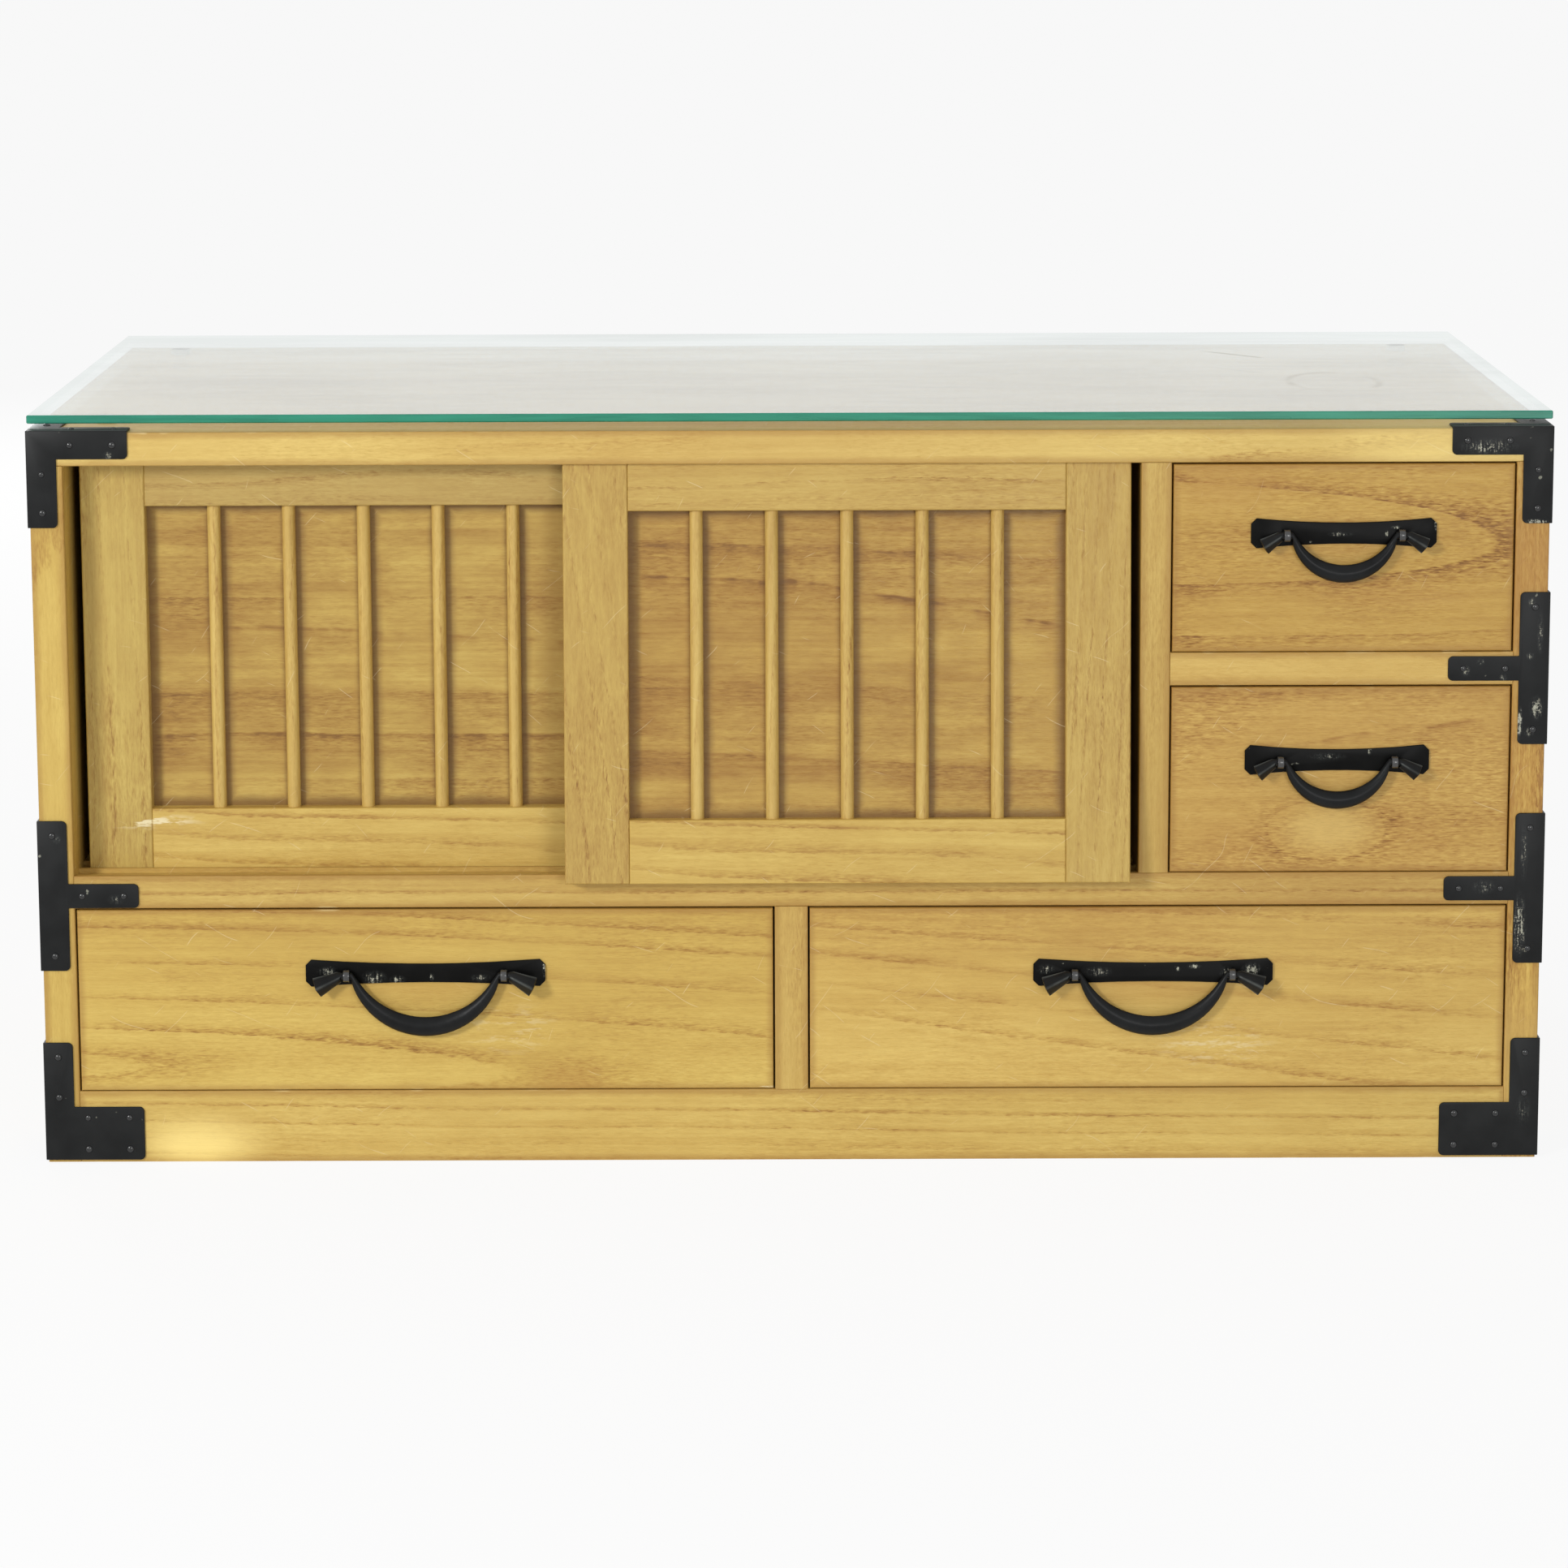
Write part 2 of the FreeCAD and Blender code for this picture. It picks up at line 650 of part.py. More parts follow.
def make_drawer(name, left, right, low, high, kind):
    raised = f"{low} + run_gap"
    over_bottom = f"{raised} + drawer_bottom_thick"
    rim = f"{high} - drawer_gap - drawer_side_drop"
    outer = (f"{left} + drawer_gap", f"{right} - drawer_gap")
    inner = (f"{outer[0]} + drawer_side_thick", f"{outer[1]} - drawer_side_thick")
    rear = "panel_front - drawer_back_gap"
    behind = "front_y + drawer_front_thick"
    middle = (f"({left} + {right}) / 2 - {name}_shift", f"({low} + {high}) / 2 + {name}_rise")

    front = new_body(f"{name}_front")
    block(front, "Additive", outer, ("front_y", behind),
          (f"{low} + drawer_front_lift", f"{high} - drawer_gap"))
    for start, end in ((f"{outer[0]} - overrun", inner[0]), (inner[1], f"{outer[1]} + overrun")):
        block(front, "Subtractive", (start, end), ("front_y + drawer_lap", f"{behind} + overrun"),
              (over_bottom, rim))
    block(front, "Subtractive", (f"{outer[0]} - overrun", f"{outer[1]} + overrun"),
          ("front_y + drawer_lap", f"{behind} + overrun"), (f"{low} - overrun", over_bottom))
    for side in ("-", ""):
        across, deep, up = eye_shank(side, kind, "overrun")
        block(front, "Subtractive", [f"{middle[0]} + {words}" for words in across],
              [f"front_y + ({words})" for words in deep], [f"{middle[1]} + ({words})" for words in up])
    rounded(front, [edge for edge in edges_at(front.Shape, y=size("front_y"))
                    if front.Shape.getElement(edge).Length > size("eye_leg_long")], "drawer_round")
    keep(front)

    sides = []
    for across in ((outer[0], inner[0]), (inner[1], outer[1])):
        side = new_body(f"{name}_side")
        block(side, "Additive", across, ("front_y + drawer_lap", rear), (over_bottom, rim))
        sides.append(side)
    group(f"{name}_sides", sides)

    back = new_body(f"{name}_back")
    block(back, "Additive", inner, (f"{rear} - drawer_side_thick", rear), (over_bottom, rim))
    keep(back)

    bottom = new_body(f"{name}_bottom")
    block(bottom, "Additive", outer, ("front_y + drawer_lap", rear), (raised, over_bottom))
    keep(bottom)

    make_handle(name, kind, middle)


def make_drawers():
    lower_edge = "lower_divider_thick / 2"
    make_drawer("left_drawer", "-inner_half", f"-{lower_edge}", "plinth_high", "middle_low", "wide")
    make_drawer("right_drawer", lower_edge, "inner_half", "plinth_high", "middle_low", "wide")
    make_drawer("small_top_drawer", "divider_right", "inner_half", "shelf_top", "top_low", "small")
    make_drawer("small_low_drawer", "divider_right", "inner_half", "middle_top", "shelf_low", "small")


# Iron: pieces of bent sheet over the front edges, held by round-headed nails


def nail(spot, facing):
    """A hammered nail head standing on a face."""
    up = Vector(1, 0, 0) if abs(facing.z) > abs(facing.x + facing.y) else Vector(0, 0, 1)
    across = up.cross(facing)
    half = size("nail_half")
    crown = half * NAIL_CROWN_SHARE
    return hammered([ring(spot, across * half, up * half),
                     ring(spot + facing * size("nail_high"), across * crown, up * crown)])


def make_iron(name, side, post, arm, capped=False, foot=False):
    """One bent piece: a post down the corner, an arm along the front and one round the side."""
    sign = "-" if side < 0 else ""
    edge = side * worth("half_wide + iron")

    def inward(reach):
        return sorted((f"{sign}(half_wide + iron)", f"{sign}(half_wide + iron - {reach})"), key=worth)

    body = new_body(name)
    front = "front_y - iron"
    block(body, "Additive", inward("post_wide"), (front, f"{front} + post_wide"), post)
    block(body, "Additive", inward("arm_reach"), (front, f"{front} + post_wide"), arm)
    block(body, "Additive", inward("post_wide"), (front, f"{front} + arm_reach"), arm)
    post_low, post_high = worth(post[0]), worth(post[1])
    arm_low, arm_high = worth(arm[0]), worth(arm[1])
    along_x = edge - side * size("arm_reach")
    across_post = edge - side * size("post_wide")
    front_at = worth(front)
    along_y = front_at + size("arm_reach")
    deep_post = front_at + size("post_wide")
    shape = body.Shape
    corners = edges_at(shape, x=along_x, z=arm_low) + edges_at(shape, y=along_y, z=arm_low)
    corners += edges_at(shape, x=across_post, z=post_low) + edges_at(shape, y=deep_post, z=post_low)
    if capped:
        corners += edges_at(shape, x=along_x, y=deep_post) + edges_at(shape, x=across_post, y=along_y)
    else:
        corners += edges_at(shape, x=along_x, z=arm_high) + edges_at(shape, y=along_y, z=arm_high)
        corners += edges_at(shape, x=across_post, z=post_high) + edges_at(shape, y=deep_post, z=post_high)
    rounded(body, sorted(set(corners)), "iron_corner_round")
    block(body, "Subtractive", ("-half_wide", "half_wide"), ("front_y", "back_y"), ("0", "height"))
    keep(body)

    inset, first = size("nail_inset"), size("nail_first")
    half_post = size("post_wide") / 2
    run = size("arm_reach")
    arm_middle = (arm_low + arm_high) / 2
    posts = [post_low + inset, post_high - inset]
    rises = [0]
    if capped:
        posts = [post_low + inset, post_high - first]
    if foot:
        posts = [post_high - inset - size("foot_nail_step"), post_high - inset]
        rises = [-worth("foot_nail_spread / 2"), worth("foot_nail_spread / 2")]
    heads = []
    on_front, on_side = Vector(0, -1, 0), Vector(side, 0, 0)
    spots = [(half_post, level) for level in posts]
    for rise in rises:
        spots += [(run - inset, arm_middle + rise), (first, arm_middle + rise)]
    for along, level in spots:
        heads.append(nail(Vector(edge - side * along, front_at, level), on_front))
        heads.append(nail(Vector(edge, front_at + along, level), on_side))
    if capped:
        cap = worth("height + iron")
        for along in (first, run - inset):
            heads.append(nail(Vector(edge - side * along, front_at + half_post, cap), Vector(0, 0, 1)))
            heads.append(nail(Vector(edge - side * half_post, front_at + along, cap), Vector(0, 0, 1)))
    return heads


def make_irons():
    heads = []
    cap = "height + iron"
    for name, side in (("left", -1), ("right", 1)):
        heads += make_iron(f"top_{name}_iron", side, (f"{cap} - top_post_high", cap),
                           (f"{cap} - top_arm_high", cap), capped=True)
        heads += make_iron(f"foot_{name}_iron", side, ("foot_lift", "foot_lift + foot_post_high"),
                           ("foot_lift", "foot_lift + foot_arm_high"), foot=True)
    rows = (("left_rail_iron", -1, "left_arm_middle", "middle_thick"),
            ("right_rail_iron", 1, "(middle_low + middle_top) / 2", "middle_thick"),
            ("right_shelf_iron", 1, "(shelf_low + shelf_top) / 2", "drawer_shelf_thick"))
    for name, side, middle, board in rows:
        half_arm = f"({board} / 2 - side_arm_margin)"
        heads += make_iron(name, side, (f"{middle} - side_post_high / 2", f"{middle} + side_post_high / 2"),
                           (f"{middle} - {half_arm}", f"{middle} + {half_arm}"))
    nails = doc.addObject("Part::Feature", "iron_nails")
    nails.Shape = Part.makeCompound(heads)
    keep(nails, "iron_nails")


# Glass: a loose sheet on four small soft pads


def make_glass():
    pads = []
    level = ("height", "height + pad_high")
    for across in ("-half_wide + pad_inset", "half_wide - pad_inset"):
        for deep in ("front_y + glass_setback + pad_inset", "back_y - pad_inset"):
            pad = new_body("glass_pad")
            round_bar(pad, "Additive", "pad_half", across, deep, level, "z")
            pads.append(pad)
    group("glass_pads", pads)
    glass = new_body("glass_top")
    block(glass, "Additive", ("-half_wide - glass_overhang", "half_wide + glass_overhang"),
          ("front_y + glass_setback", "back_y"),
          ("height + pad_high", "height + pad_high + glass_thick"))
    sheet_of_glass = glass.Tip
    every_edge = [f"Edge{number}" for number in range(1, len(sheet_of_glass.Shape.Edges) + 1)]
    arris = glass.newObject("PartDesign::Chamfer", "ground_arris")
    arris.Base = (sheet_of_glass, every_edge)
    arris.setExpression("Size", formula("glass_arris"))
    keep(glass)


make_top_board()
make_sides()
make_middle_shelf()
make_dividers()
make_drawer_shelf()
make_base()
make_doors()
make_drawers()
make_irons()
make_glass()
doc.recompute()

bad = [item.Label for item in doc.Objects if {"Invalid", "Error"} & set(item.State)]
bad += [label for label, piece in NODES.items() if piece.Shape.isNull() or not piece.Shape.isValid()]
if bad:
    raise RuntimeError("these did not build: " + ", ".join(bad))

os.makedirs("parts", exist_ok=True)
for label, piece in NODES.items():
    piece.Shape.exportStep(f"parts/{label}.step")
print(len(NODES), "pieces")
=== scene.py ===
import math

import bmesh
import bpy
from mathutils import Matrix, Vector


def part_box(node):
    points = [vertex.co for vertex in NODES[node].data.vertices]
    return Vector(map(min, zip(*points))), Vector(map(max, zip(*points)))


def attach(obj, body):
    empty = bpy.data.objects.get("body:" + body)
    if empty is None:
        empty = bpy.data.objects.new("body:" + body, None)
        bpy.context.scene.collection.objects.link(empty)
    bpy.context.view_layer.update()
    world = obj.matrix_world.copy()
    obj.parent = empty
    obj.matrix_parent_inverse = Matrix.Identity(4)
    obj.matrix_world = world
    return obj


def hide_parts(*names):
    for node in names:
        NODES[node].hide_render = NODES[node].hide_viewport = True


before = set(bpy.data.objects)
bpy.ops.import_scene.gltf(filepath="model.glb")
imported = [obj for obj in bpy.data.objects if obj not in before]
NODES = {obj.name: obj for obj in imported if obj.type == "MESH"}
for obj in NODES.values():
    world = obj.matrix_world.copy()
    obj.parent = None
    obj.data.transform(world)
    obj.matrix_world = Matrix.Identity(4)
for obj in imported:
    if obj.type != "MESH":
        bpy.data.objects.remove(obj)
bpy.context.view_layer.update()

# Case boards. Paulownia planks, planed and rubbed with a thin amber lacquer, tongued together
# behind the front edge. Wide soft rings, open pores along the dark side of each ring, fine
# straight fibres, rubbed corners and hairline scratches.


class Shade:
    """A socket among a finish's nodes. Sums on it add Math nodes, and node() adds any other."""

    def __init__(self, tree, socket):
        self.tree = tree
        self.socket = socket

    def node(self, kind, settings=None, feeds=None, out=0):
        made = self.tree.nodes.new(kind)
        for name, value in (settings or {}).items():
            if name == "stops":
                first, *between, last = value
                for element, stop in zip(made.color_ramp.elements, (first, last)):
                    element.position, element.color = stop[0], (*stop[1], 1)
                for place, colour in between:
                    made.color_ramp.elements.new(place).color = (*colour, 1)
            else:
                setattr(made, name, value)
        for name, value in (feeds or {}).items():
            if isinstance(value, Shade):
                self.tree.links.new(value.socket, made.inputs[name])
            else:
                made.inputs[name].default_value = value
        return Shade(self.tree, made.outputs[out])

    def maths(self, operation, *terms):
        return self.node("ShaderNodeMath", {"operation": operation}, dict(enumerate(terms)))

    def __add__(self, other):
        return self.maths("ADD", self, other)

    def __sub__(self, other):
        return self.maths("SUBTRACT", self, other)

    def __rsub__(self, other):
        return self.maths("SUBTRACT", other, self)

    def __mul__(self, other):
        return self.maths("MULTIPLY", self, other)

    def __truediv__(self, other):
        return self.maths("DIVIDE", self, other)

    def __pow__(self, other):
        return self.maths("POWER", self, other)

    def __abs__(self):
        return self.maths("ABSOLUTE", self)

    __radd__ = __add__
    __rmul__ = __mul__

    def least(self, other):
        return self.maths("MINIMUM", self, other)

    def most(self, other):
        return self.maths("MAXIMUM", self, other)

    def parts(self):
        """The x, y and z of this place."""
        split = self.node("ShaderNodeSeparateXYZ", None, {0: self}).socket.node
        return [Shade(self.tree, socket) for socket in split.outputs]

    def ease(self, low, high, start=0.0, end=1.0):
        """Goes smoothly from start to end as this goes from low to high."""
        return self.node("ShaderNodeMapRange", {"interpolation_type": "SMOOTHSTEP"},
                         {"Value": self, "From Min": low, "From Max": high, "To Min": start, "To Max": end})

    def grown(self, factor):
        """This place with each direction stretched by its own factor."""
        return self.node("ShaderNodeVectorMath", {"operation": "MULTIPLY"}, {0: self, 1: factor})

    def cloud(self, spread, detail=2.0, rough=0.5, out=0):
        """Soft random values, spread along each direction by so many to the metre."""
        return self.node("ShaderNodeTexNoise", None, {
            "Vector": self.grown(spread), "Scale": 1.0, "Detail": detail, "Roughness": rough}, out)

    def ripple(self, step, **more):
        """Soft random values that change as this value grows, so many to its unit."""
        return self.node("ShaderNodeTexNoise", {"noise_dimensions": "1D"},
                         {"W": self * step, "Scale": 1.0, **more})

    def oval(self, x, z, wide, high, low=0.2):
        """A soft oval seen from the front: 1 in its middle and 0 at its rim."""
        across, _, up = self.parts()
        away = (((across - x) / wide) ** 2 + ((up - z) / high) ** 2) ** 0.5
        return away.ease(low, 1.0, 1.0, 0.0)

    def over(self, under, colour):
        """Lays a colour over another as thick as this mask says."""
        factor, lower, upper, mixed = 0, 6, 7, 2
        return self.node("ShaderNodeMix", {"data_type": "RGBA"},
                         {factor: self, lower: under, upper: (*colour, 1)}, mixed)


def bare_finish(name, **constants):
    """A finish with nothing on it yet: the material, its main shader and its place socket."""
    material = bpy.data.materials.new(name)
    material.use_nodes = True
    tree = material.node_tree
    tree.nodes.clear()
    shader = tree.nodes.new("ShaderNodeBsdfPrincipled")
    output = tree.nodes.new("ShaderNodeOutputMaterial")
    tree.links.new(shader.outputs[0], output.inputs["Surface"])
    for words, value in constants.items():
        shader.inputs[words.replace("_", " ")].default_value = value
    where = tree.nodes.new("ShaderNodeTexCoord").outputs["Object"]
    return material, shader, Shade(tree, where)


def lay_on(shader, colour, rough, height, strength, distance=0.0004):
    """Feeds the main shader with what changes over the surface."""
    bump = height.node("ShaderNodeBump", None,
                       {"Strength": strength, "Distance": distance, "Height": height})
    for words, shade in (("Base Color", colour), ("Roughness", rough), ("Normal", bump)):
        shade.tree.links.new(shade.socket, shader.inputs[words])


# The plane of the case's front edges, and how each way of the grain is turned to lie along x
FRONT = -0.21685
GRAIN_TURN = {"x": (0, 0, 0), "y": (0, 0, -math.pi / 2), "z": (0, math.pi / 2, 0)}
# The wood from pale to dark with the tones at which straw and amber lie, then its wear and dirt.
# The brightest of these is only a painted highlight, and the russet, grime and deepest brown also serve as
# painted shade and shadow
PALE, STRAW, AMBER, BROWN = (0.76, 0.57, 0.18), (0.6, 0.405, 0.108), (0.42, 0.235, 0.054), (0.25, 0.12, 0.026)
STRAW_AT, AMBER_AT = 0.33, 0.68
RUBBED, SCRATCH, BARE_GREY = (0.82, 0.66, 0.32), (0.86, 0.76, 0.48), (0.66, 0.52, 0.32)
GLOW, HONEY, RUSSET_AND_SHADOW = (0.97, 0.76, 0.27), (0.68, 0.47, 0.14), (0.42, 0.21, 0.045)
GRIME_AND_SHADOW, DEEP = (0.34, 0.17, 0.035), (0.17, 0.085, 0.02)


def kiri(name, along, heart, gap=0.012, rings=None, ring_fade=0.007, torn=1.0, slope=0.0, bow=0.0,
         lean=0.0, dip=0.0, widen=0.0, sway=0.008, lines=0.4, stripes=0.3, streaks=0.35, fibre=0.3,
         pores=0.3, blotch=0.3, fall=0.0, tint=(1, 1, 1), age=0.0, edges=None, bare=False, overlays=(),
         veins=(), roots=None):
    """Paulownia cut from a log whose heart runs through a point, along x, y or z.

    rings lists each ring's radius and strength, or gap is the step between them. Along the
    grain slope and bow take the heart away from the board's face, lean and dip let it sink
    and widen spreads the rings. torn tears their edges and sway bends the whole grain. lines,
    stripes, streaks, fibre, pores and blotch say how strong each mark is. age darkens the wood
    and fall paints shade that darkens it with height. edges gives the box whose rims are
    rubbed, scuffs are spots laid over the colour (x, z, half width, half height, strength,
    colour): wear and stains, and also painted shadow and painted highlights. veins are thin
    dark lines (x, z, x, z, strength) and roots (x, pitch, low corner, high corner) says where
    dirt and painted shade gather: beside upright slats, most at their right, and inside an
    opening's rim.
    """
    material, shader, raw = bare_finish(name, Specular_IOR_Level=0.3 if bare else 0.4)
    x, y, z = raw.parts()

    # The board's place in its log, and how far each point lies from the heart
    turn = GRAIN_TURN[along]
    moved = Matrix.Rotation(turn[2], 3, "Z") @ Matrix.Rotation(turn[1], 3, "Y") @ Vector(heart)
    place = raw.node("ShaderNodeMapping", None, {"Vector": raw, "Location": -moved, "Rotation": turn})
    drift = place.cloud((3.2, 11, 11), 3.0, 0.5, 1)
    drift = drift.node("ShaderNodeVectorMath", {"operation": "MULTIPLY_ADD"},
                       {0: drift, 1: (0, sway * 2, sway * 2), 2: (0, -sway, -sway)})
    bent = place.node("ShaderNodeVectorMath", {"operation": "ADD"}, {0: place, 1: drift})
    run, deep, across = bent.parts()
    depth = deep - run * slope - run * run * bow
    across = (across + run * lean + run * run * dip) / (run * widen + 1)
    ragged = place.cloud((150, 520, 520), 3.0, 0.6) - 0.5
    radius = (depth * depth + across * across) ** 0.5 + ragged * 0.0022 * torn
    turns = radius / gap

    # Rings: a sharp dark line each, fading outwards
    if rings:
        reach = rings[-1][0] + ring_fade * 1.5
        stops = [(0.0, (0, 0, 0))]
        for size, strength in rings:
            for at, share in ((size - 0.0005, 0.0), (size, 1.0), (size + ring_fade * 0.35, 0.5),
                              (size + ring_fade, 0.0)):
                stops.append((at / reach, (share * strength,) * 3))
        line = radius.node("ShaderNodeValToRGB", {"stops": stops + [(1.0, (0, 0, 0))]}, {0: radius / reach})
    else:
        turns = turns + turns.ripple(0.6) * 0.9
        ring = turns.maths("FRACT", turns)
        early = ring.ease(0.0, 0.25, 1.0, 0.0) ** 1.4
        line = early.most(ring.ease(0.94, 1.0)) * turns.ripple(0.83).ease(0.3, 0.66, 0.3, 1.1)
    broad = place.cloud((9, 22, 22), 2.0)
    line = line * broad.ease(0.33, 0.6, 0.35, 1.1)

    # Stripes between the rings, long streaks, fibres, open pores and blotches
    grades = turns.ripple(1.9, Detail=4.0, Roughness=0.62)
    long = bent.cloud((2.2, 60, 60), 3.0, 0.6)
    strands = place.cloud((10, 420, 420), 3.0, 0.62)
    specks = place.cloud((150, 760, 760), 2.0, 0.6)
    pits = place.cloud((190, 1600, 1600), 1.0).ease(0.53, 0.68)
    grainy = broad.ease(0.38, 0.62, 0.3, 1.0)
    patch = place.cloud((5, 10, 10), 2.0)
    mottle = place.cloud((32, 80, 80), 3.0, 0.6)
    # fall paints shade: the board darkens above its middle and lightens below it
    middle_z = (edges[0][2] + edges[1][2]) / 2 if edges else 0.0
    dark = (line * lines * (1 + ragged * 1.6) + (grades - 0.5) * stripes + (long - 0.5) * streaks
            + (strands - 0.5) * fibre + ((specks - 0.5) * 1.4 + pits * 0.3) * (grainy + line * 1.6) * pores
            + (patch - 0.5) * blotch + (mottle - 0.5) * blotch * 0.8 + (z - middle_z) * fall
            + (STRAW_AT + age))

    # Veins: a thin line with a soft shade under it, broken here and there
    for x0, z0, x1, z1, strength in veins:
        wander = (raw.cloud((14, 14, 14), 3.0, 0.6) - 0.5) * 0.012
        off = z - z0 - (x - x0) * ((z1 - z0) / (x1 - x0)) + wander
        thin = abs(off).ease(0.0003, 0.0019, 1.0, 0.0)
        soft = off.ease(-0.0075, 0.0, 0.0, 0.6) * off.ease(0.0, 0.0012, 1.0, 0.0)
        within = x.ease(x0 - 0.01, x0 + 0.01) * x.ease(x1 - 0.01, x1 + 0.01, 1.0, 0.0)
        broken = raw.cloud((55, 5, 5), 2.0).ease(0.38, 0.56, 0.15, 1.0)
        dark = dark + thin.most(soft) * within * broken * strength

    # Colour of the wood, bare or under its lacquer
    stops = [(0.0, PALE), (STRAW_AT, STRAW), (AMBER_AT, AMBER), (1.0, BROWN)]
    if bare:
        stops = [(at, tuple(0.6 * c + 0.4 * grey for c, grey in zip(colour, BARE_GREY)))
                 for at, colour in stops]
    stops = [(at, tuple(c * cast for c, cast in zip(colour, tint))) for at, colour in stops]
    colour = dark.node("ShaderNodeValToRGB", {"stops": stops}, {0: dark})

    # Dirt and painted shadow at the roots of the slats, most of it at their right, and painted shade inside
    # the opening's rim
    if roots:
        first, pitch, low, high = roots
        beside = (x - first - 0.0018) / pitch
        beside = beside.maths("PINGPONG", beside, 0.5) * pitch
        for away in (x - low[0], high[0] - x, z - low[1], high[1] - z):
            beside = beside.least(away + 0.0015)
        beside = beside - raw.cloud((50, 50, 50), 2.0) * 0.004
        colour = beside.ease(0.0005, 0.0078, 0.8, 0.0).over(colour, DEEP)

    # Rims: of a point's three depths below the board's faces, the middle one is how far an edge is
    if edges:
        low, high = edges
        middle = [(a + b) / 2 for a, b in zip(low, high)]
        half = [(b - a) / 2 for a, b in zip(low, high)]
        rims = [half[axis] - abs(at - middle[axis]) for axis, at in enumerate((x, y, z))]
        rim = rims[2].least(rims[0].most(rims[1])).most(rims[0].least(rims[1]))
        rim = rim - raw.cloud((35, 35, 35), 3.0) * 0.0035
        colour = rim.ease(-0.001, 0.0035, 0.5, 0.0).over(colour, GRIME_AND_SHADOW)
        worn = rim.ease(-0.0022, -0.0012, 1.0, 0.0) * raw.cloud((40, 40, 40), 2.0).ease(0.58, 0.66)
        colour = (worn * 0.5).over(colour, RUBBED)

    # Hairline scratches in the lacquer, both ways, then spots on the front: wear and stains, with some
    # painted shadow and painted highlight
    if not bare:
        for tilt, spread, seed in ((1.1, 61, 0.0), (-0.7, 73, 3.1)):
            slant = (x + seed) * (spread * math.cos(tilt)) + z * (spread * math.sin(tilt))
            slant = slant + raw.cloud((9 + seed, 9, 9 + seed), 2.0) * 3.0
            thin = slant.maths("PINGPONG", slant, 0.5).ease(0.004, 0.02, 1.0, 0.0)
            hair = thin * raw.cloud((43 + seed, 43, 43 - seed), 2.0).ease(0.6, 0.68)
            colour = (hair * 0.3).over(colour, SCRATCH)
    for at_x, at_z, wide, high, strength, shade in overlays:
        # Each spot's mask: wear and stains for most, painted shadow round the handles and painted highlights
        # for others
        worn = raw.oval(at_x, at_z, wide, high) * y.ease(FRONT + 0.045, FRONT + 0.1, 1.0, 0.0)
        if shade is SCRATCH:
            worn = worn * raw.cloud((60, 60, 260), 3.0, 0.7).ease(0.5, 0.62)
        # A painted highlight follows the grain's long streaks and fibres
        if shade is GLOW:
            worn = worn * (long * 0.7 + strands * 0.9 + 0.2)
        colour = (worn * strength).over(colour, shade)

    rough = 0.46 + (strands - 0.5) * 0.2 + pits * 0.12
    if bare:
        rough = rough + 0.2
    height = strands * 0.5 - pits * 0.5 - specks * 0.4 - line * 0.3
    lay_on(shader, colour, rough, height, 0.3, 0.0003)
    return material


def dress(node, material):
    """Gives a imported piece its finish."""
    slots = NODES[node].data.materials
    slots.clear()
    slots.append(material)
    for face in NODES[node].data.polygons:
        face.material_index = 0


for node, along, heart, gap, figure in (
        ("top_board", "x", (0.1, FRONT + 0.2, 0.47), 0.0075, dict(
            slope=0.02, tint=(1.0, 0.99, 0.97), age=-0.12, lines=0.2, stripes=0.2,
            # Its second spot, at the right end, is a painted highlight
            overlays=[(-0.02, 0.435, 0.24, 0.04, 0.22, RUSSET_AND_SHADOW), (0.39, 0.435, 0.1, 0.04, 0.4, GLOW)])),
        ("left_side", "z", (-0.44, FRONT + 0.13, 0.3), 0.007, dict(
            slope=0.01, tint=(0.92, 0.9, 0.76), age=-0.05, lines=0.22, stripes=0.22)),
        ("right_side", "z", (0.43, FRONT + 0.09, 0.1), 0.006, dict(
            tint=(1.02, 0.96, 0.8), age=0.09, lines=0.4, pores=1.2, fibre=1.1, streaks=0.5,
            overlays=[(0.44, 0.36, 0.1, 0.08, 0.75, RUSSET_AND_SHADOW), (0.44, 0.24, 0.1, 0.07, 0.45, RUSSET_AND_SHADOW),
                    (0.44, 0.06, 0.1, 0.07, 0.4, HONEY)])),
        ("middle_shelf", "x", (-0.3, FRONT + 0.02, 0.0), 0.009, dict(
            slope=0.01, sway=0.005, tint=(0.92, 0.905, 0.868), age=0.02, lines=0.12,
            overlays=[(0.3, 0.167, 0.16, 0.03, 0.25, RUSSET_AND_SHADOW)])),
        ("upper_divider", "z", (0.2, FRONT + 0.1, 0.2), 0.007, dict(
            tint=(0.89, 0.86, 0.82), age=0.0, lines=0.18, stripes=0.3)),
        ("lower_divider", "z", (0.02, FRONT + 0.1, 0.1), 0.006, dict(
            tint=(0.94, 0.92, 0.91), age=-0.04, lines=0.2)),
        ("drawer_shelf", "x", (0.4, FRONT + 0.12, 0.29), 0.008, dict(
            slope=0.03, tint=(0.97, 0.92, 0.86), age=-0.06, lines=0.25)),
        ("plinth_rail", "x", (0.2, FRONT + 0.01, -0.15), 0.0095, dict(
            slope=0.02, lean=0.012, sway=0.005, age=-0.06, lines=0.16, streaks=0.25,
            tint=(0.97, 0.96, 0.9), overlays=[
                # Both spots at the plinth's left end are a painted highlight: a hot spot of lamp light
                (-0.357, 0.013, 0.052, 0.022, 0.6, GLOW), (-0.362, 0.01, 0.034, 0.013, 0.6, GLOW)]))):
    dress(node, kiri(node.replace("_", " "), along, heart, gap, edges=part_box(node), **figure))

# Unseen boards. The bottom, let into the sides, the rail below it at the back, and the thin back
# panel in its rebate. The same paulownia, left bare.

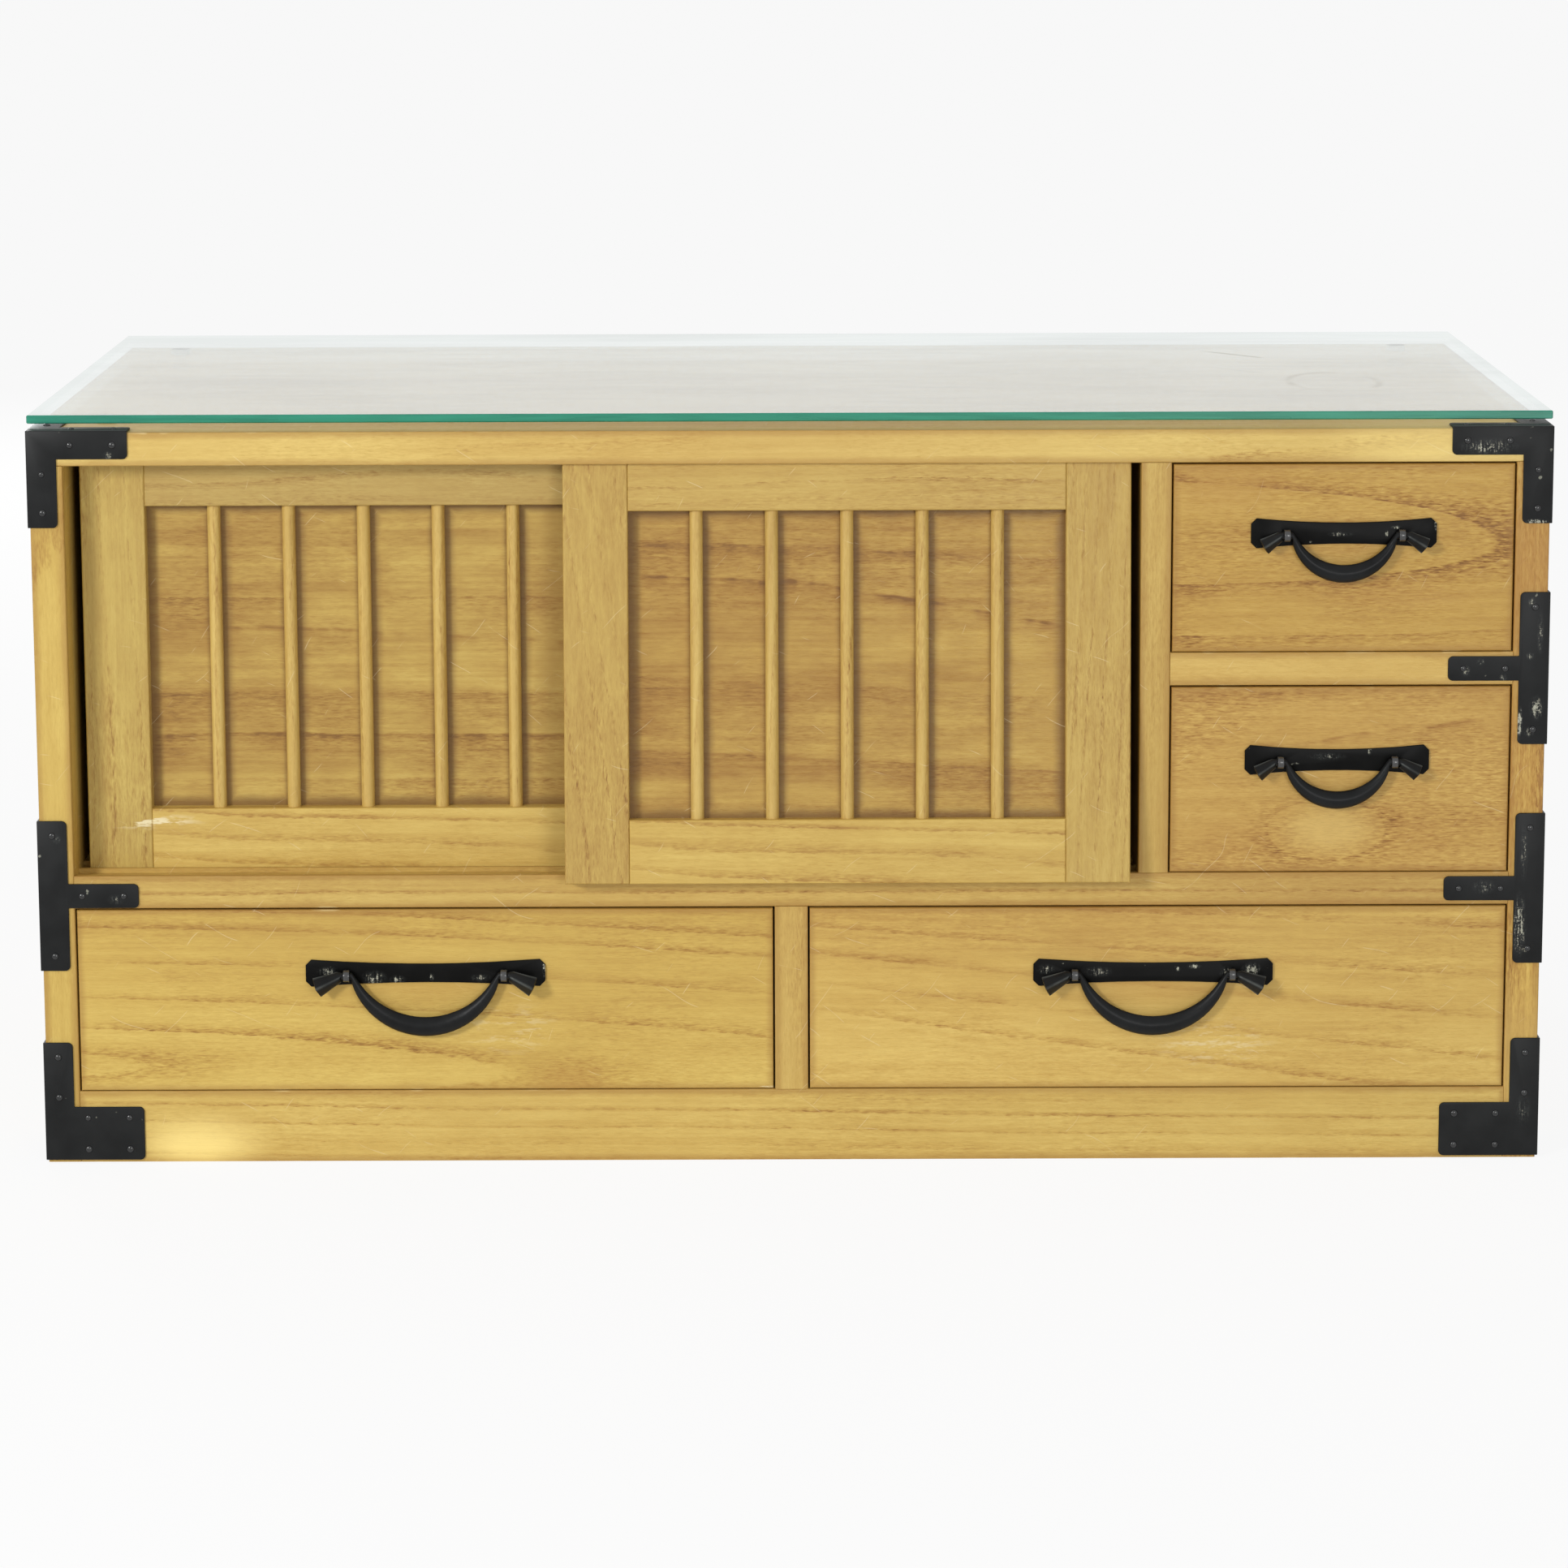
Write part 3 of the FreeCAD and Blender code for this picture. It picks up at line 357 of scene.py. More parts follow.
for node, along, heart, gap in (("bottom_board", "x", (0.1, 0.1, 0.1), 0.008),
                                ("back_rail", "x", (0.1, 0.26, 0.05), 0.008),
                                ("back_panel", "x", (-0.2, 0.31, 0.2), 0.011)):
    dress(node, kiri(node.replace("_", " "), along, heart, gap, slope=0.04, bare=True))

# Sliding doors. Stiles and rails round a thin panel of banded wood, with half-round slats
# glued to it. The right door has jumped its lower track and leans out over the rail.

# Each door's lower rear left corner, and how far it leans
DOORS = (("left_door", Vector((-0.424, -0.17635, 0.1745)), 0.0),
         ("right_door", Vector((-0.1348, -0.21715, 0.1734)), math.radians(4.66)))
DOOR_WIDE, DOOR_HIGH, DOOR_THICK, STILE_WIDE = 0.337, 0.2589, 0.016, 0.0385
# The heights of the opening between the rails, and how deep the panel lies
RAIL_LOW, RAIL_TOP, PANEL_IN = 0.0385, DOOR_HIGH - 0.036, 0.0065
SLATS, SLAT_PITCH, SLAT_HALF, SLAT_PROUD, SLAT_STEPS = 5, 0.04475, 0.0039, 0.007, 7
SLAT_SUNK = SLAT_HALF * 0.6
FIRST_SLAT = DOOR_WIDE / 2 - (SLATS - 1) / 2 * SLAT_PITCH
JOIN_WITHIN = 1e-6


def tree_of(name, inputs):
    """A tree of geometry nodes with named inputs, and a helper that adds and links its nodes."""
    tree = bpy.data.node_groups.new(name, "GeometryNodeTree")
    tree.interface.new_socket("Geometry", in_out="INPUT", socket_type="NodeSocketGeometry")
    keys = {}
    for words, (kind, value) in inputs.items():
        socket = tree.interface.new_socket(words, in_out="INPUT", socket_type="NodeSocket" + kind)
        socket.default_value = value
        keys[words] = socket.identifier
    tree.interface.new_socket("Geometry", in_out="OUTPUT", socket_type="NodeSocketGeometry")
    given = tree.nodes.new("NodeGroupInput").outputs
    result = tree.nodes.new("NodeGroupOutput").inputs[0]

    def add(kind, settings=None, feeds=None, out=0):
        made = tree.nodes.new(kind)
        for words, value in (settings or {}).items():
            setattr(made, words, value)
        for words, value in (feeds or {}).items():
            if isinstance(value, bpy.types.NodeSocket):
                tree.links.new(value, made.inputs[words])
            else:
                made.inputs[words].default_value = value
        return made.outputs[out]

    return tree, keys, given, result, add


def grow(name, tree, keys, values, seedbed=None):
    """Runs a tree once and keeps what it makes as a plain mesh."""
    source = bpy.data.objects.new(name, seedbed or bpy.data.meshes.new(name))
    bpy.context.scene.collection.objects.link(source)
    modifier = source.modifiers.new(name, "NODES")
    modifier.node_group = tree
    for words, value in values.items():
        modifier[keys[words]] = value
    ready = source.evaluated_get(bpy.context.evaluated_depsgraph_get())
    mesh = bpy.data.meshes.new_from_object(ready)
    source.modifiers.clear()
    source.data = mesh
    return source


slat_tree, slat_keys, given, result, add = tree_of("half round slats", {
    "Slats": ("Int", SLATS), "Pitch": ("Float", SLAT_PITCH), "Half Width": ("Float", SLAT_HALF),
    "Length": ("Float", RAIL_TOP - RAIL_LOW), "Lean": ("Vector", (0, 0, 0)), "Foot": ("Vector", (0, 0, 0)),
    "First": ("Vector", (FIRST_SLAT, -PANEL_IN - SLAT_PROUD / 2 + SLAT_SUNK / 2, RAIL_LOW)),
    "Finish": ("Material", None)})
wide = add("ShaderNodeMath", {"operation": "MULTIPLY"}, {0: given["Half Width"], 1: 2.0})
outline = add("GeometryNodeCurvePrimitiveQuadrilateral", {"mode": "RECTANGLE"},
              {"Width": wide, "Height": SLAT_PROUD + SLAT_SUNK})
outline = add("GeometryNodeFilletCurve", {"mode": "POLY"},
              {"Curve": outline, "Radius": given["Half Width"], "Count": SLAT_STEPS, "Limit Radius": True})
top = add("ShaderNodeCombineXYZ", None, {"Z": given["Length"]})
line = add("GeometryNodeCurvePrimitiveLine", {"mode": "POINTS"}, {"End": top})
slat = add("GeometryNodeCurveToMesh", None, {"Curve": line, "Profile Curve": outline, "Fill Caps": True})
slat = add("GeometryNodeMergeByDistance", None, {"Geometry": slat, "Distance": JOIN_WITHIN})
step = add("ShaderNodeCombineXYZ", None, {"X": given["Pitch"]})
row = add("GeometryNodeMeshLine", {"mode": "OFFSET"},
          {"Count": given["Slats"], "Start Location": given["First"], "Offset": step})
slats = add("GeometryNodeInstanceOnPoints", None, {"Points": row, "Instance": slat})
slats = add("GeometryNodeRealizeInstances", None, {"Geometry": slats})
slats = add("GeometryNodeTransform", None,
            {"Geometry": slats, "Translation": given["Foot"], "Rotation": given["Lean"]})
slats = add("GeometryNodeSetShadeSmooth", None, {"Geometry": slats})
slats = add("GeometryNodeSetMaterial", None, {"Geometry": slats, "Material": given["Finish"]})
slat_tree.links.new(slats, result)

for door, foot, lean in DOORS:
    x, face, z = foot.x, foot.y - DOOR_THICK, foot.z
    left = door == "left_door"
    words = door.replace("_", " ")
    overlays = [(-0.385, 0.205, 0.036, 0.006, 0.85, SCRATCH)] if left else ()
    dress(f"{door}_stiles", kiri(
        words + " stiles", "z", (x + 0.1, face + 0.14, z), 0.007, age=0.07, lines=0.1, stripes=0.16,
        streaks=0.36, pores=0.4, overlays=overlays, tint=(0.91, 0.97, 0.96) if left else (0.87, 0.865, 0.81)))
    dress(f"{door}_bottom_rail", kiri(
        words + " bottom rail", "x", (x + 0.3, face + 0.06, z - 0.03), 0.011, slope=0.05, age=-0.07,
        lines=0.26, stripes=0.2, pores=0.25, overlays=overlays,
        tint=(0.96, 0.95, 0.86) if left else (0.91, 0.88, 0.76)))
    dress(f"{door}_top_rail", kiri(
        words + " top rail", "x", (x, face + 0.1, z + 0.28), 0.006, slope=0.02, age=0.02, lines=0.12,
        stripes=0.16, pores=0.32, tint=(0.78, 0.79, 0.84) if left else (0.86, 0.84, 0.8)))
    if left:
        bands = ((0.1104, 0.8), (0.1682, 0.7), (0.1942, 0.8), (0.2214, 0.7))
        veins = ((-0.34, 0.3235, -0.1, 0.31, 0.3), (-0.38, 0.256, -0.1, 0.2555, 0.3))
        # Painted shadow that the right door casts on the left panel's right part, with a little grime
        shaded = [(-0.137, 0.305, 0.024, 0.15, 0.3, GRIME_AND_SHADOW)]
    else:
        bands = ((0.080, 0.5), (0.1605, 0.6), (0.204, 0.6), (0.232, 0.5))
        veins = ((-0.092, 0.3568, 0.02, 0.352, 0.45), (0.0, 0.3535, 0.158, 0.328, 0.5),
                 (-0.09, 0.376, 0.08, 0.37, 0.25))
        shaded = ()
    low, high = (x + STILE_WIDE, z + RAIL_LOW), (x + DOOR_WIDE - STILE_WIDE, z + RAIL_TOP)
    dress(f"{door}_panel", kiri(
        words + " panel", "x", (x + 0.16, face, 0.45), 0.03, rings=bands, ring_fade=0.024,
        lean=0.0 if left else 0.05, sway=0.005, age=0.07, lines=0.3, stripes=0.3, streaks=0.5, fibre=0.4,
        pores=0.3, blotch=0.7, veins=veins, overlays=shaded, roots=(x + FIRST_SLAT, SLAT_PITCH, low, high),
        tint=(0.84, 0.83, 0.73) if left else (0.81, 0.76, 0.63)))
    slat_wood = kiri(words + " slats", "z", (x, face + 0.08, z), 0.006, age=-0.02, lines=0.12,
                     tint=(0.92, 0.9, 0.88))
    slats = grow(f"{door}_half_round_slats", slat_tree, slat_keys, {
        "Lean": (-lean, 0, 0), "Foot": foot, "Finish": slat_wood})
    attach(slats, door)
    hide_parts(f"{door}_slats")

# Drawers. Thick fronts of slash-cut paulownia with arched figure, thin bare sides housed
# behind them, a back, and a thin bottom. Each front keeps its own figure.

# The wide fronts' fall paints shade that darkens them towards the top
for drawer, figure in (
        ("left_drawer", dict(
            heart=(-0.43, FRONT + 0.012, 0.06), slope=0.052, dip=0.07, sway=0.003, lines=0.24, stripes=0.14,
            rings=((0.0143, 0.8), (0.026, 1.5), (0.0437, 1.0), (0.0651, 0.9), (0.0858, 0.9), (0.0967, 0.8)),
            ring_fade=0.005, age=-0.04, fall=2.0, tint=(0.97, 0.96, 0.82),
            overlays=[(-0.017, 0.0455, 0.009, 0.0014, 0.9, SCRATCH), (-0.17, 0.082, 0.04, 0.02, 0.3, SCRATCH),
                    # Painted shadow round the handle plate
                    (-0.222, 0.112, 0.092, 0.019, 0.26, RUSSET_AND_SHADOW),
                    (-0.135, 0.05, 0.035, 0.016, 0.3, RUSSET_AND_SHADOW)])),
        ("right_drawer", dict(
            heart=(0.0114, FRONT + 0.015, 0.044), lean=0.214, widen=1.39, sway=0.0035, lines=0.26,
            stripes=0.14, ring_fade=0.0045,
            rings=((0.0525, 1.0), (0.0685, 0.8), (0.0848, 0.9), (0.1011, 0.7), (0.1197, 0.8)),
            age=-0.04, fall=2.4, tint=(1.0, 0.97, 0.9),
            overlays=[(0.255, 0.072, 0.045, 0.02, 0.4, SCRATCH), (0.21, 0.142, 0.09, 0.022, 0.2, RUSSET_AND_SHADOW),
                    # Painted shadow round the handle plate
                    (0.2175, 0.111, 0.094, 0.02, 0.36, RUSSET_AND_SHADOW)])),
        ("small_top_drawer", dict(
            heart=(0.262, FRONT + 0.0077, 0.382), slope=0.133, lean=0.02, sway=0.006, lines=0.3, stripes=0.16,
            rings=((0.030, 1.0), (0.0605, 0.9)), ring_fade=0.009, torn=0.4, age=0.02,
            tint=(0.83, 0.74, 0.57), pores=0.55,
            overlays=[(0.26, 0.412, 0.055, 0.022, 0.3, RUSSET_AND_SHADOW), (0.36, 0.345, 0.07, 0.012, 0.2, RUSSET_AND_SHADOW),
                    # Painted shadow round the handle plate
                    (0.328, 0.377, 0.073, 0.018, 0.24, RUSSET_AND_SHADOW)])),
        ("small_low_drawer", dict(
            heart=(0.3204, FRONT + 0.012, 0.203), bow=7.6, sway=0.0025, lines=0.24, stripes=0.06, streaks=0.5,
            rings=((0.0213, 0.5),), ring_fade=0.01, torn=0.3, age=0.03, tint=(0.87, 0.78, 0.68), pores=0.75,
            veins=((0.231, 0.258, 0.3, 0.2545, 0.2), (0.3, 0.2545, 0.427, 0.272, 0.3),
                   (0.228, 0.284, 0.32, 0.287, 0.3)),
            overlays=[(0.322, 0.203, 0.038, 0.02, 0.68, HONEY), (0.262, 0.195, 0.035, 0.022, 0.22, RUSSET_AND_SHADOW),
                    (0.375, 0.195, 0.03, 0.022, 0.16, RUSSET_AND_SHADOW)]))):
    words = drawer.replace("_", " ")
    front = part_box(f"{drawer}_front")
    dress(f"{drawer}_front", kiri(words + " front", "x", edges=front, **figure))
    middle = (Vector(front[0]) + Vector(front[1])) / 2
    inside = kiri(words + " inside", "y", (middle.x + 0.3, 0, middle.z - 0.05), 0.008, bare=True)
    across = kiri(words + " back and bottom", "x", (middle.x, 0.3, middle.z - 0.1), 0.009, bare=True)
    dress(f"{drawer}_sides", inside)
    for part in ("back", "bottom"):
        dress(f"{drawer}_{part}", across)

# Iron straps. Sheet bent round the corners and lacquered black, rubbed to pale scuffs where
# hands and feet catch it, held by nails.

BLACK, CHIP, HAZE_AND_SHEEN, RUST = (0.006, 0.0066, 0.0068), (0.5, 0.5, 0.4), (0.11, 0.12, 0.115), (0.09, 0.045, 0.02)
STRAP_MARKS = (
    (0.4125, 0.434, 0.021, 0.0062, 0.8), (0.442, 0.3892, 0.009, 0.0022, 1.5),
    (0.4342, 0.2685, 0.0027, 0.0135, 1.6), (0.4445, 0.277, 0.0055, 0.009, 0.95),
    (0.4402, 0.2625, 0.004, 0.004, 0.9), (0.4458, 0.322, 0.0025, 0.016, 0.6),
    (0.4400, 0.3085, 0.003, 0.003, 0.9), (0.4402, 0.3410, 0.003, 0.004, 0.7),
    (0.402, 0.2995, 0.004, 0.004, 1.0), (0.4105, 0.305, 0.003, 0.003, 1.0),
    (0.4243, 0.2955, 0.003, 0.003, 0.8), (0.4372, 0.1435, 0.0052, 0.025, 1.05),
    (0.4405, 0.1296, 0.003, 0.003, 1.0), (0.439, 0.19, 0.003, 0.022, 0.55),
    (0.4155, 0.168, 0.009, 0.0055, 0.62), (0.442, 0.03, 0.006, 0.012, 0.45),
    (-0.4025, 0.431, 0.004, 0.004, 0.7), (-0.405, 0.163, 0.006, 0.004, 0.6),
    (-0.4395, 0.2, 0.003, 0.004, 0.6))
EASE = 0.0004
FLAT_WITHIN, SHARP_FROM, SMOOTH_UP_TO = math.radians(1), math.radians(28), math.radians(40)


def black_iron(name, marks=(), colour=BLACK, shine=0.45, forged=0.0, shine_level=0.2, flecks=0.5,
               ridged=False):
    """Lacquered iron, chipped to a pale primer inside marks.

    A mark is (x, z, half width, half height, strength). forged dents the face, flecks sprinkles
    it with small chips, and ridged lightens the edges that a mesh marks with its ridge attribute:
    painted sheen on those corners, with some rubbing.
    """
    material, shader, place = bare_finish(name, Specular_IOR_Level=shine_level)
    grit = place.cloud((850, 850, 850), 4.0, 0.75)
    streak = place.cloud((900, 900, 170), 3.0, 0.65)
    fleck = place.cloud((170, 170, 170), 2.0, 0.5).ease(0.745 - 0.03 * flecks, 0.78) * flecks
    haze = place.cloud((60, 60, 60), 3.0)
    tone = haze.node("ShaderNodeValToRGB", {"stops": [
        (0.3, tuple(0.75 * c for c in colour)), (0.7, tuple(1.35 * c + 0.002 for c in colour))]}, {0: haze})
    chip = fleck
    if marks:
        worn = None
        for x, z, wide, high, strength in marks:
            spot = place.oval(x, z, wide, high, 0.1) * strength
            worn = spot if worn is None else worn.most(spot)
        film = worn * (grit * 0.5 + streak * 0.5).ease(0.4, 0.62)
        tone = (film * 0.65).over(tone, HAZE_AND_SHEEN)
        flaked = (grit * 0.55 + streak * 0.45 + worn * 0.1).ease(0.59, 0.65) * worn.ease(0.12, 0.7)
        tone = ((flaked.ease(0.05, 0.4) - flaked.ease(0.5, 0.9)) * 0.6).over(tone, RUST)
        chip = chip.most(flaked)
    tone = (chip * 0.85).over(tone, CHIP)
    # Painted sheen along the flares' corner edges, partly rubbed metal
    if ridged:
        ridge = place.node("ShaderNodeAttribute", {"attribute_name": "ridge"}, None, 2)
        tone = (ridge * haze.ease(0.3, 0.6, 0.25, 0.75)).over(tone, HAZE_AND_SHEEN)
    rough = shine + (haze - 0.5) * 0.18 + chip * 0.25
    dents = place.cloud((170, 170, 170), 2.0) * forged + haze * 0.4 - chip * 0.35
    lay_on(shader, tone, rough, dents, 0.3 + forged * 0.4, 0.0006)
    return material


def joined(mesh):
    """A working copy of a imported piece, its loose triangles joined and its flat faces whole again."""
    shape = bmesh.new()
    shape.from_mesh(mesh)
    bmesh.ops.remove_doubles(shape, verts=shape.verts, dist=JOIN_WITHIN)
    bmesh.ops.dissolve_limit(shape, angle_limit=FLAT_WITHIN, verts=shape.verts, edges=shape.edges)
    return shape


def eased(name, node, radius, material, body):
    """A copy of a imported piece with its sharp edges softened."""
    copy = bpy.data.objects.new(name, NODES[node].data.copy())
    bpy.context.scene.collection.objects.link(copy)
    shape = joined(copy.data)
    sharp = [edge for edge in shape.edges if edge.is_manifold and edge.calc_face_angle() > SHARP_FROM]
    bmesh.ops.bevel(shape, geom=sharp, offset=radius, segments=2, affect="EDGES", profile=0.5,
                    clamp_overlap=True)
    shape.to_mesh(copy.data)
    shape.free()
    copy.data.materials.clear()
    copy.data.materials.append(material)
    for face in copy.data.polygons:
        face.material_index = 0
        face.use_smooth = True
    copy.data.set_sharp_from_angle(angle=SMOOTH_UP_TO)
    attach(copy, body)
    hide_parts(node)


strap_black = black_iron("black iron straps", STRAP_MARKS)
for node in ("top_left_iron", "top_right_iron", "foot_left_iron", "foot_right_iron", "left_rail_iron",
             "right_rail_iron", "right_shelf_iron"):
    eased(node + "_eased", node, EASE, strap_black, "carcass")

# Nails. Round heads of blackened iron, struck through the straps into the boards, each a little
# larger or smaller than the next.

NAIL_HALF, NAIL_HIGH, SMALLEST, LARGEST = 0.0021, 0.0011, 0.86, 1.1
nail_tree, nail_keys, given, result, add = tree_of("domed nails", {
    "Half Width": ("Float", NAIL_HALF), "Height": ("Float", NAIL_HIGH), "Seed": ("Int", 7),
    "Finish": ("Material", None)})
dome = add("GeometryNodeMeshUVSphere", None, {"Segments": 14, "Rings": 8, "Radius": 1.0})
size = add("ShaderNodeCombineXYZ", None,
           {"X": given["Half Width"], "Y": given["Half Width"], "Z": given["Height"]})
dome = add("GeometryNodeTransform", None, {"Geometry": dome, "Scale": size})
facing = add("GeometryNodeInputNamedAttribute", {"data_type": "FLOAT_VECTOR"}, {"Name": "facing"})
upright = add("FunctionNodeAlignRotationToVector", {"axis": "Z"}, {"Vector": facing})
least, most = 2, 3
struck = add("FunctionNodeRandomValue", {"data_type": "FLOAT"},
             {least: SMALLEST, most: LARGEST, "Seed": given["Seed"]}, 1)
heads = add("GeometryNodeInstanceOnPoints", None,
            {"Points": given["Geometry"], "Instance": dome, "Rotation": upright, "Scale": struck})
heads = add("GeometryNodeRealizeInstances", None, {"Geometry": heads})
heads = add("GeometryNodeSetShadeSmooth", None, {"Geometry": heads})
heads = add("GeometryNodeSetMaterial", None, {"Geometry": heads, "Material": given["Finish"]})
nail_tree.links.new(heads, result)

# Each packed head's middle on the iron, and the way it faces: up, out at the side, or forwards
shape = bmesh.new()
shape.from_mesh(NODES["iron_nails"].data)
bmesh.ops.remove_doubles(shape, verts=shape.verts, dist=JOIN_WITHIN)
spots, facings, seen = [], [], set()
for corner in shape.verts:
    if corner in seen:
        continue
    seen.add(corner)
    head = [corner]
    for reached in head:
        for edge in reached.link_edges:
            other = edge.other_vert(reached)
            if other not in seen:
                seen.add(other)
                head.append(other)
    low = Vector([min(v.co[axis] for v in head) for axis in range(3)])
    high = Vector([max(v.co[axis] for v in head) for axis in range(3)])
    thin = min(range(3), key=lambda axis: (high - low)[axis])
    out = Vector((0, 0, 0))
    out[thin] = 1 if thin == 2 or (thin == 0 and low.x > 0) else -1
    middle = (low + high) / 2
    middle[thin] = low[thin] if out[thin] > 0 else high[thin]
    spots.append(middle)
    facings.append(out)
shape.free()
nail_spots = bpy.data.meshes.new("nail spots")
nail_spots.from_pydata(spots, [], [])
facing_data = nail_spots.attributes.new("facing", "FLOAT_VECTOR", "POINT").data
for item, out in zip(facing_data, facings):
    item.vector = out
nail_black = black_iron("nail heads", shine=0.2, shine_level=0.6, flecks=0.0)
nails = grow("domed_nails", nail_tree, nail_keys, {"Finish": nail_black}, nail_spots)
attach(nails, "carcass")
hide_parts("iron_nails")

# Drop handles. A waisted plate, two looped pins, and a forged bail: its belly is full with a
# soft ridge along the front, its necks pass through the loops, and its ends flare to squares.

# Each handle's kind, and the x and z of its pivot line's middle
HANDLES = {
    "left_drawer": ("wide", -0.22, 0.1163), "right_drawer": ("wide", 0.2175, 0.1154),
    "small_top_drawer": ("small", 0.328, 0.382), "small_low_drawer": ("small", 0.326, 0.2452)}
BAILS = {
    "wide": dict(pivot=0.04725, drop=0.0314, belly=0.0059, reach=0.0177, flare=0.0063),
    "small": dict(pivot=0.034, drop=0.023, belly=0.0053, reach=0.0138, flare=0.0051)}
NECK, NECK_RUN, BELLY_DEEP, FLARE_DROP, FLARE_GAP = 0.0021, 0.0031, 0.0039, 0.0062, 0.0011
PLATE_THICK, PIVOT_OUT, EYE_EASE = 0.0015, 0.0051, 0.0003
FLARE_SHARES = (0.1, 0.22, 0.4, 0.6, 0.8, 0.985)
ARC_STEPS, RING_SIDES, END_RINGS, BAR_SMOOTH_UP_TO = 14, 24, 8, math.radians(38)
PLATE_MARKS = (
    (-0.2509, 0.1140, 0.009, 0.006, 0.85), (-0.237, 0.1127, 0.006, 0.004, 0.8),
    (-0.2785, 0.118, 0.008, 0.004, 0.7), (-0.2163, 0.1147, 0.002, 0.003, 0.9),
    (-0.187, 0.114, 0.008, 0.003, 0.65), (-0.1487, 0.119, 0.0015, 0.006, 1.3),
    (0.2767, 0.1178, 0.007, 0.005, 1.15), (0.2422, 0.1197, 0.005, 0.002, 1.2),
    (0.2325, 0.118, 0.002, 0.002, 1.2), (0.2616, 0.1155, 0.005, 0.005, 0.8),
    (0.184, 0.1165, 0.011, 0.004, 0.6), (0.153, 0.118, 0.007, 0.004, 0.7),
    (0.3533, 0.3825, 0.0012, 0.0028, 1.5), (0.3588, 0.3862, 0.004, 0.0015, 1.0),
    (0.326, 0.3822, 0.009, 0.002, 0.7), (0.3823, 0.388, 0.0012, 0.005, 1.3),
    (0.3457, 0.251, 0.002, 0.003, 0.9), (0.32, 0.248, 0.014, 0.003, 0.6))


def forged_ring(middle, across, up, bulge):
    """One ring of a forged bar: bulge 1 is a diamond, 2 is round, between them a soft ridge."""
    corners = []
    for number in range(RING_SIDES):
        turn = 2 * math.pi * number / RING_SIDES
        c, s = math.cos(turn), math.sin(turn)
        reach = (abs(c) ** bulge + abs(s) ** bulge) ** (-1 / bulge)
        corners.append(middle + across * (reach * c) + up * (reach * s))
    return corners


def bail_rings(pivot, drop, belly, reach, flare):
    """Rings of the whole bail about its pivot line, from the left end to the right one."""
    ahead, up = Vector((0, -1, 0)), Vector((0, 0, 1))
    start = Vector((pivot - NECK_RUN - NECK, 0, -2 * NECK))
    radius = (start.x ** 2 + (drop + start.z) ** 2) / (2 * (drop + start.z))
    half_turn = math.asin(start.x / radius)
    rings = []
    # The arc between the loops, thin at its ends and full and ridged in its belly
    for step in range(-ARC_STEPS, ARC_STEPS + 1):
        share = step / ARC_STEPS
        turn = share * half_turn
        full = math.cos(share * math.pi / 2) ** 0.9
        inward = Vector((-math.sin(turn), 0, math.cos(turn)))
        rings.append(forged_ring(up * (radius - drop) - inward * radius,
                                 ahead * (NECK + (BELLY_DEEP - NECK) * full),
                                 inward * (NECK + (belly - NECK) * full), 2 - 0.55 * full))
    # The flares stand clear of the plate, so their ends lie further forwards than the necks
    forward = flare + PLATE_THICK + FLARE_GAP - PIVOT_OUT

    def end(side):
        """The straight neck in its loop, the flare down and forwards, and its softened square end."""
        outer = Vector((side * (pivot + NECK_RUN), 0, 0))
        inner = Vector((side * (pivot - NECK_RUN), 0, 0))
        tip = Vector((side * (pivot + reach), -forward, -FLARE_DROP))
        fall = math.atan2(FLARE_DROP, reach - NECK_RUN)
        square_up = Vector((side * math.sin(fall), 0, math.cos(fall)))
        off = Vector((side * math.cos(fall), 0, -math.sin(fall)))
        made = [forged_ring(spot, ahead * NECK, up * NECK, 2) for spot in (inner, outer)]
        for share in FLARE_SHARES:
            half = NECK + (flare - NECK) * (0.28 + 0.72 * share ** 1.15)
            bulge = 1.35 - 0.33 * share
            made.append(forged_ring(outer.lerp(tip, share), ahead * half, square_up * half, bulge))
        made.append(forged_ring(tip, ahead * flare * 0.94, square_up * flare * 0.94, 1.02))
        made.append(forged_ring(tip + off * 0.0005, ahead * flare * 0.5, square_up * flare * 0.5, 1.1))
        return made

    return end(-1)[::-1] + rings + end(1)


def forged_bar(name, rings, move, material):
    """Skins rings into one closed bar."""
    corners = [corner + move for one in rings for corner in one]
    faces = [tuple(range(RING_SIDES))[::-1],
             tuple(len(corners) - RING_SIDES + number for number in range(RING_SIDES))]
    for first in range(0, len(corners) - RING_SIDES, RING_SIDES):
        for number in range(RING_SIDES):
            following = (number + 1) % RING_SIDES
            faces.append((first + number, first + following, first + RING_SIDES + following,
                          first + RING_SIDES + number))
    mesh = bpy.data.meshes.new(name)
    mesh.from_pydata(corners, [], faces)
    shape = bmesh.new()
    shape.from_mesh(mesh)
    bmesh.ops.recalc_face_normals(shape, faces=shape.faces)
    shape.to_mesh(mesh)
    shape.free()
    mesh.materials.append(material)
    ridge = mesh.attributes.new("ridge", "FLOAT", "POINT").data
    for number, corner in enumerate(ridge):
        ring, side = divmod(number, RING_SIDES)
        flared = ring < END_RINGS or ring >= len(rings) - END_RINGS
        corner.value = 1.0 if flared and side % (RING_SIDES // 4) == 0 else 0.0
    for face in mesh.polygons:
        face.use_smooth = True
    mesh.set_sharp_from_angle(angle=BAR_SMOOTH_UP_TO)
    bar = bpy.data.objects.new(name, mesh)
    bpy.context.scene.collection.objects.link(bar)
    return bar


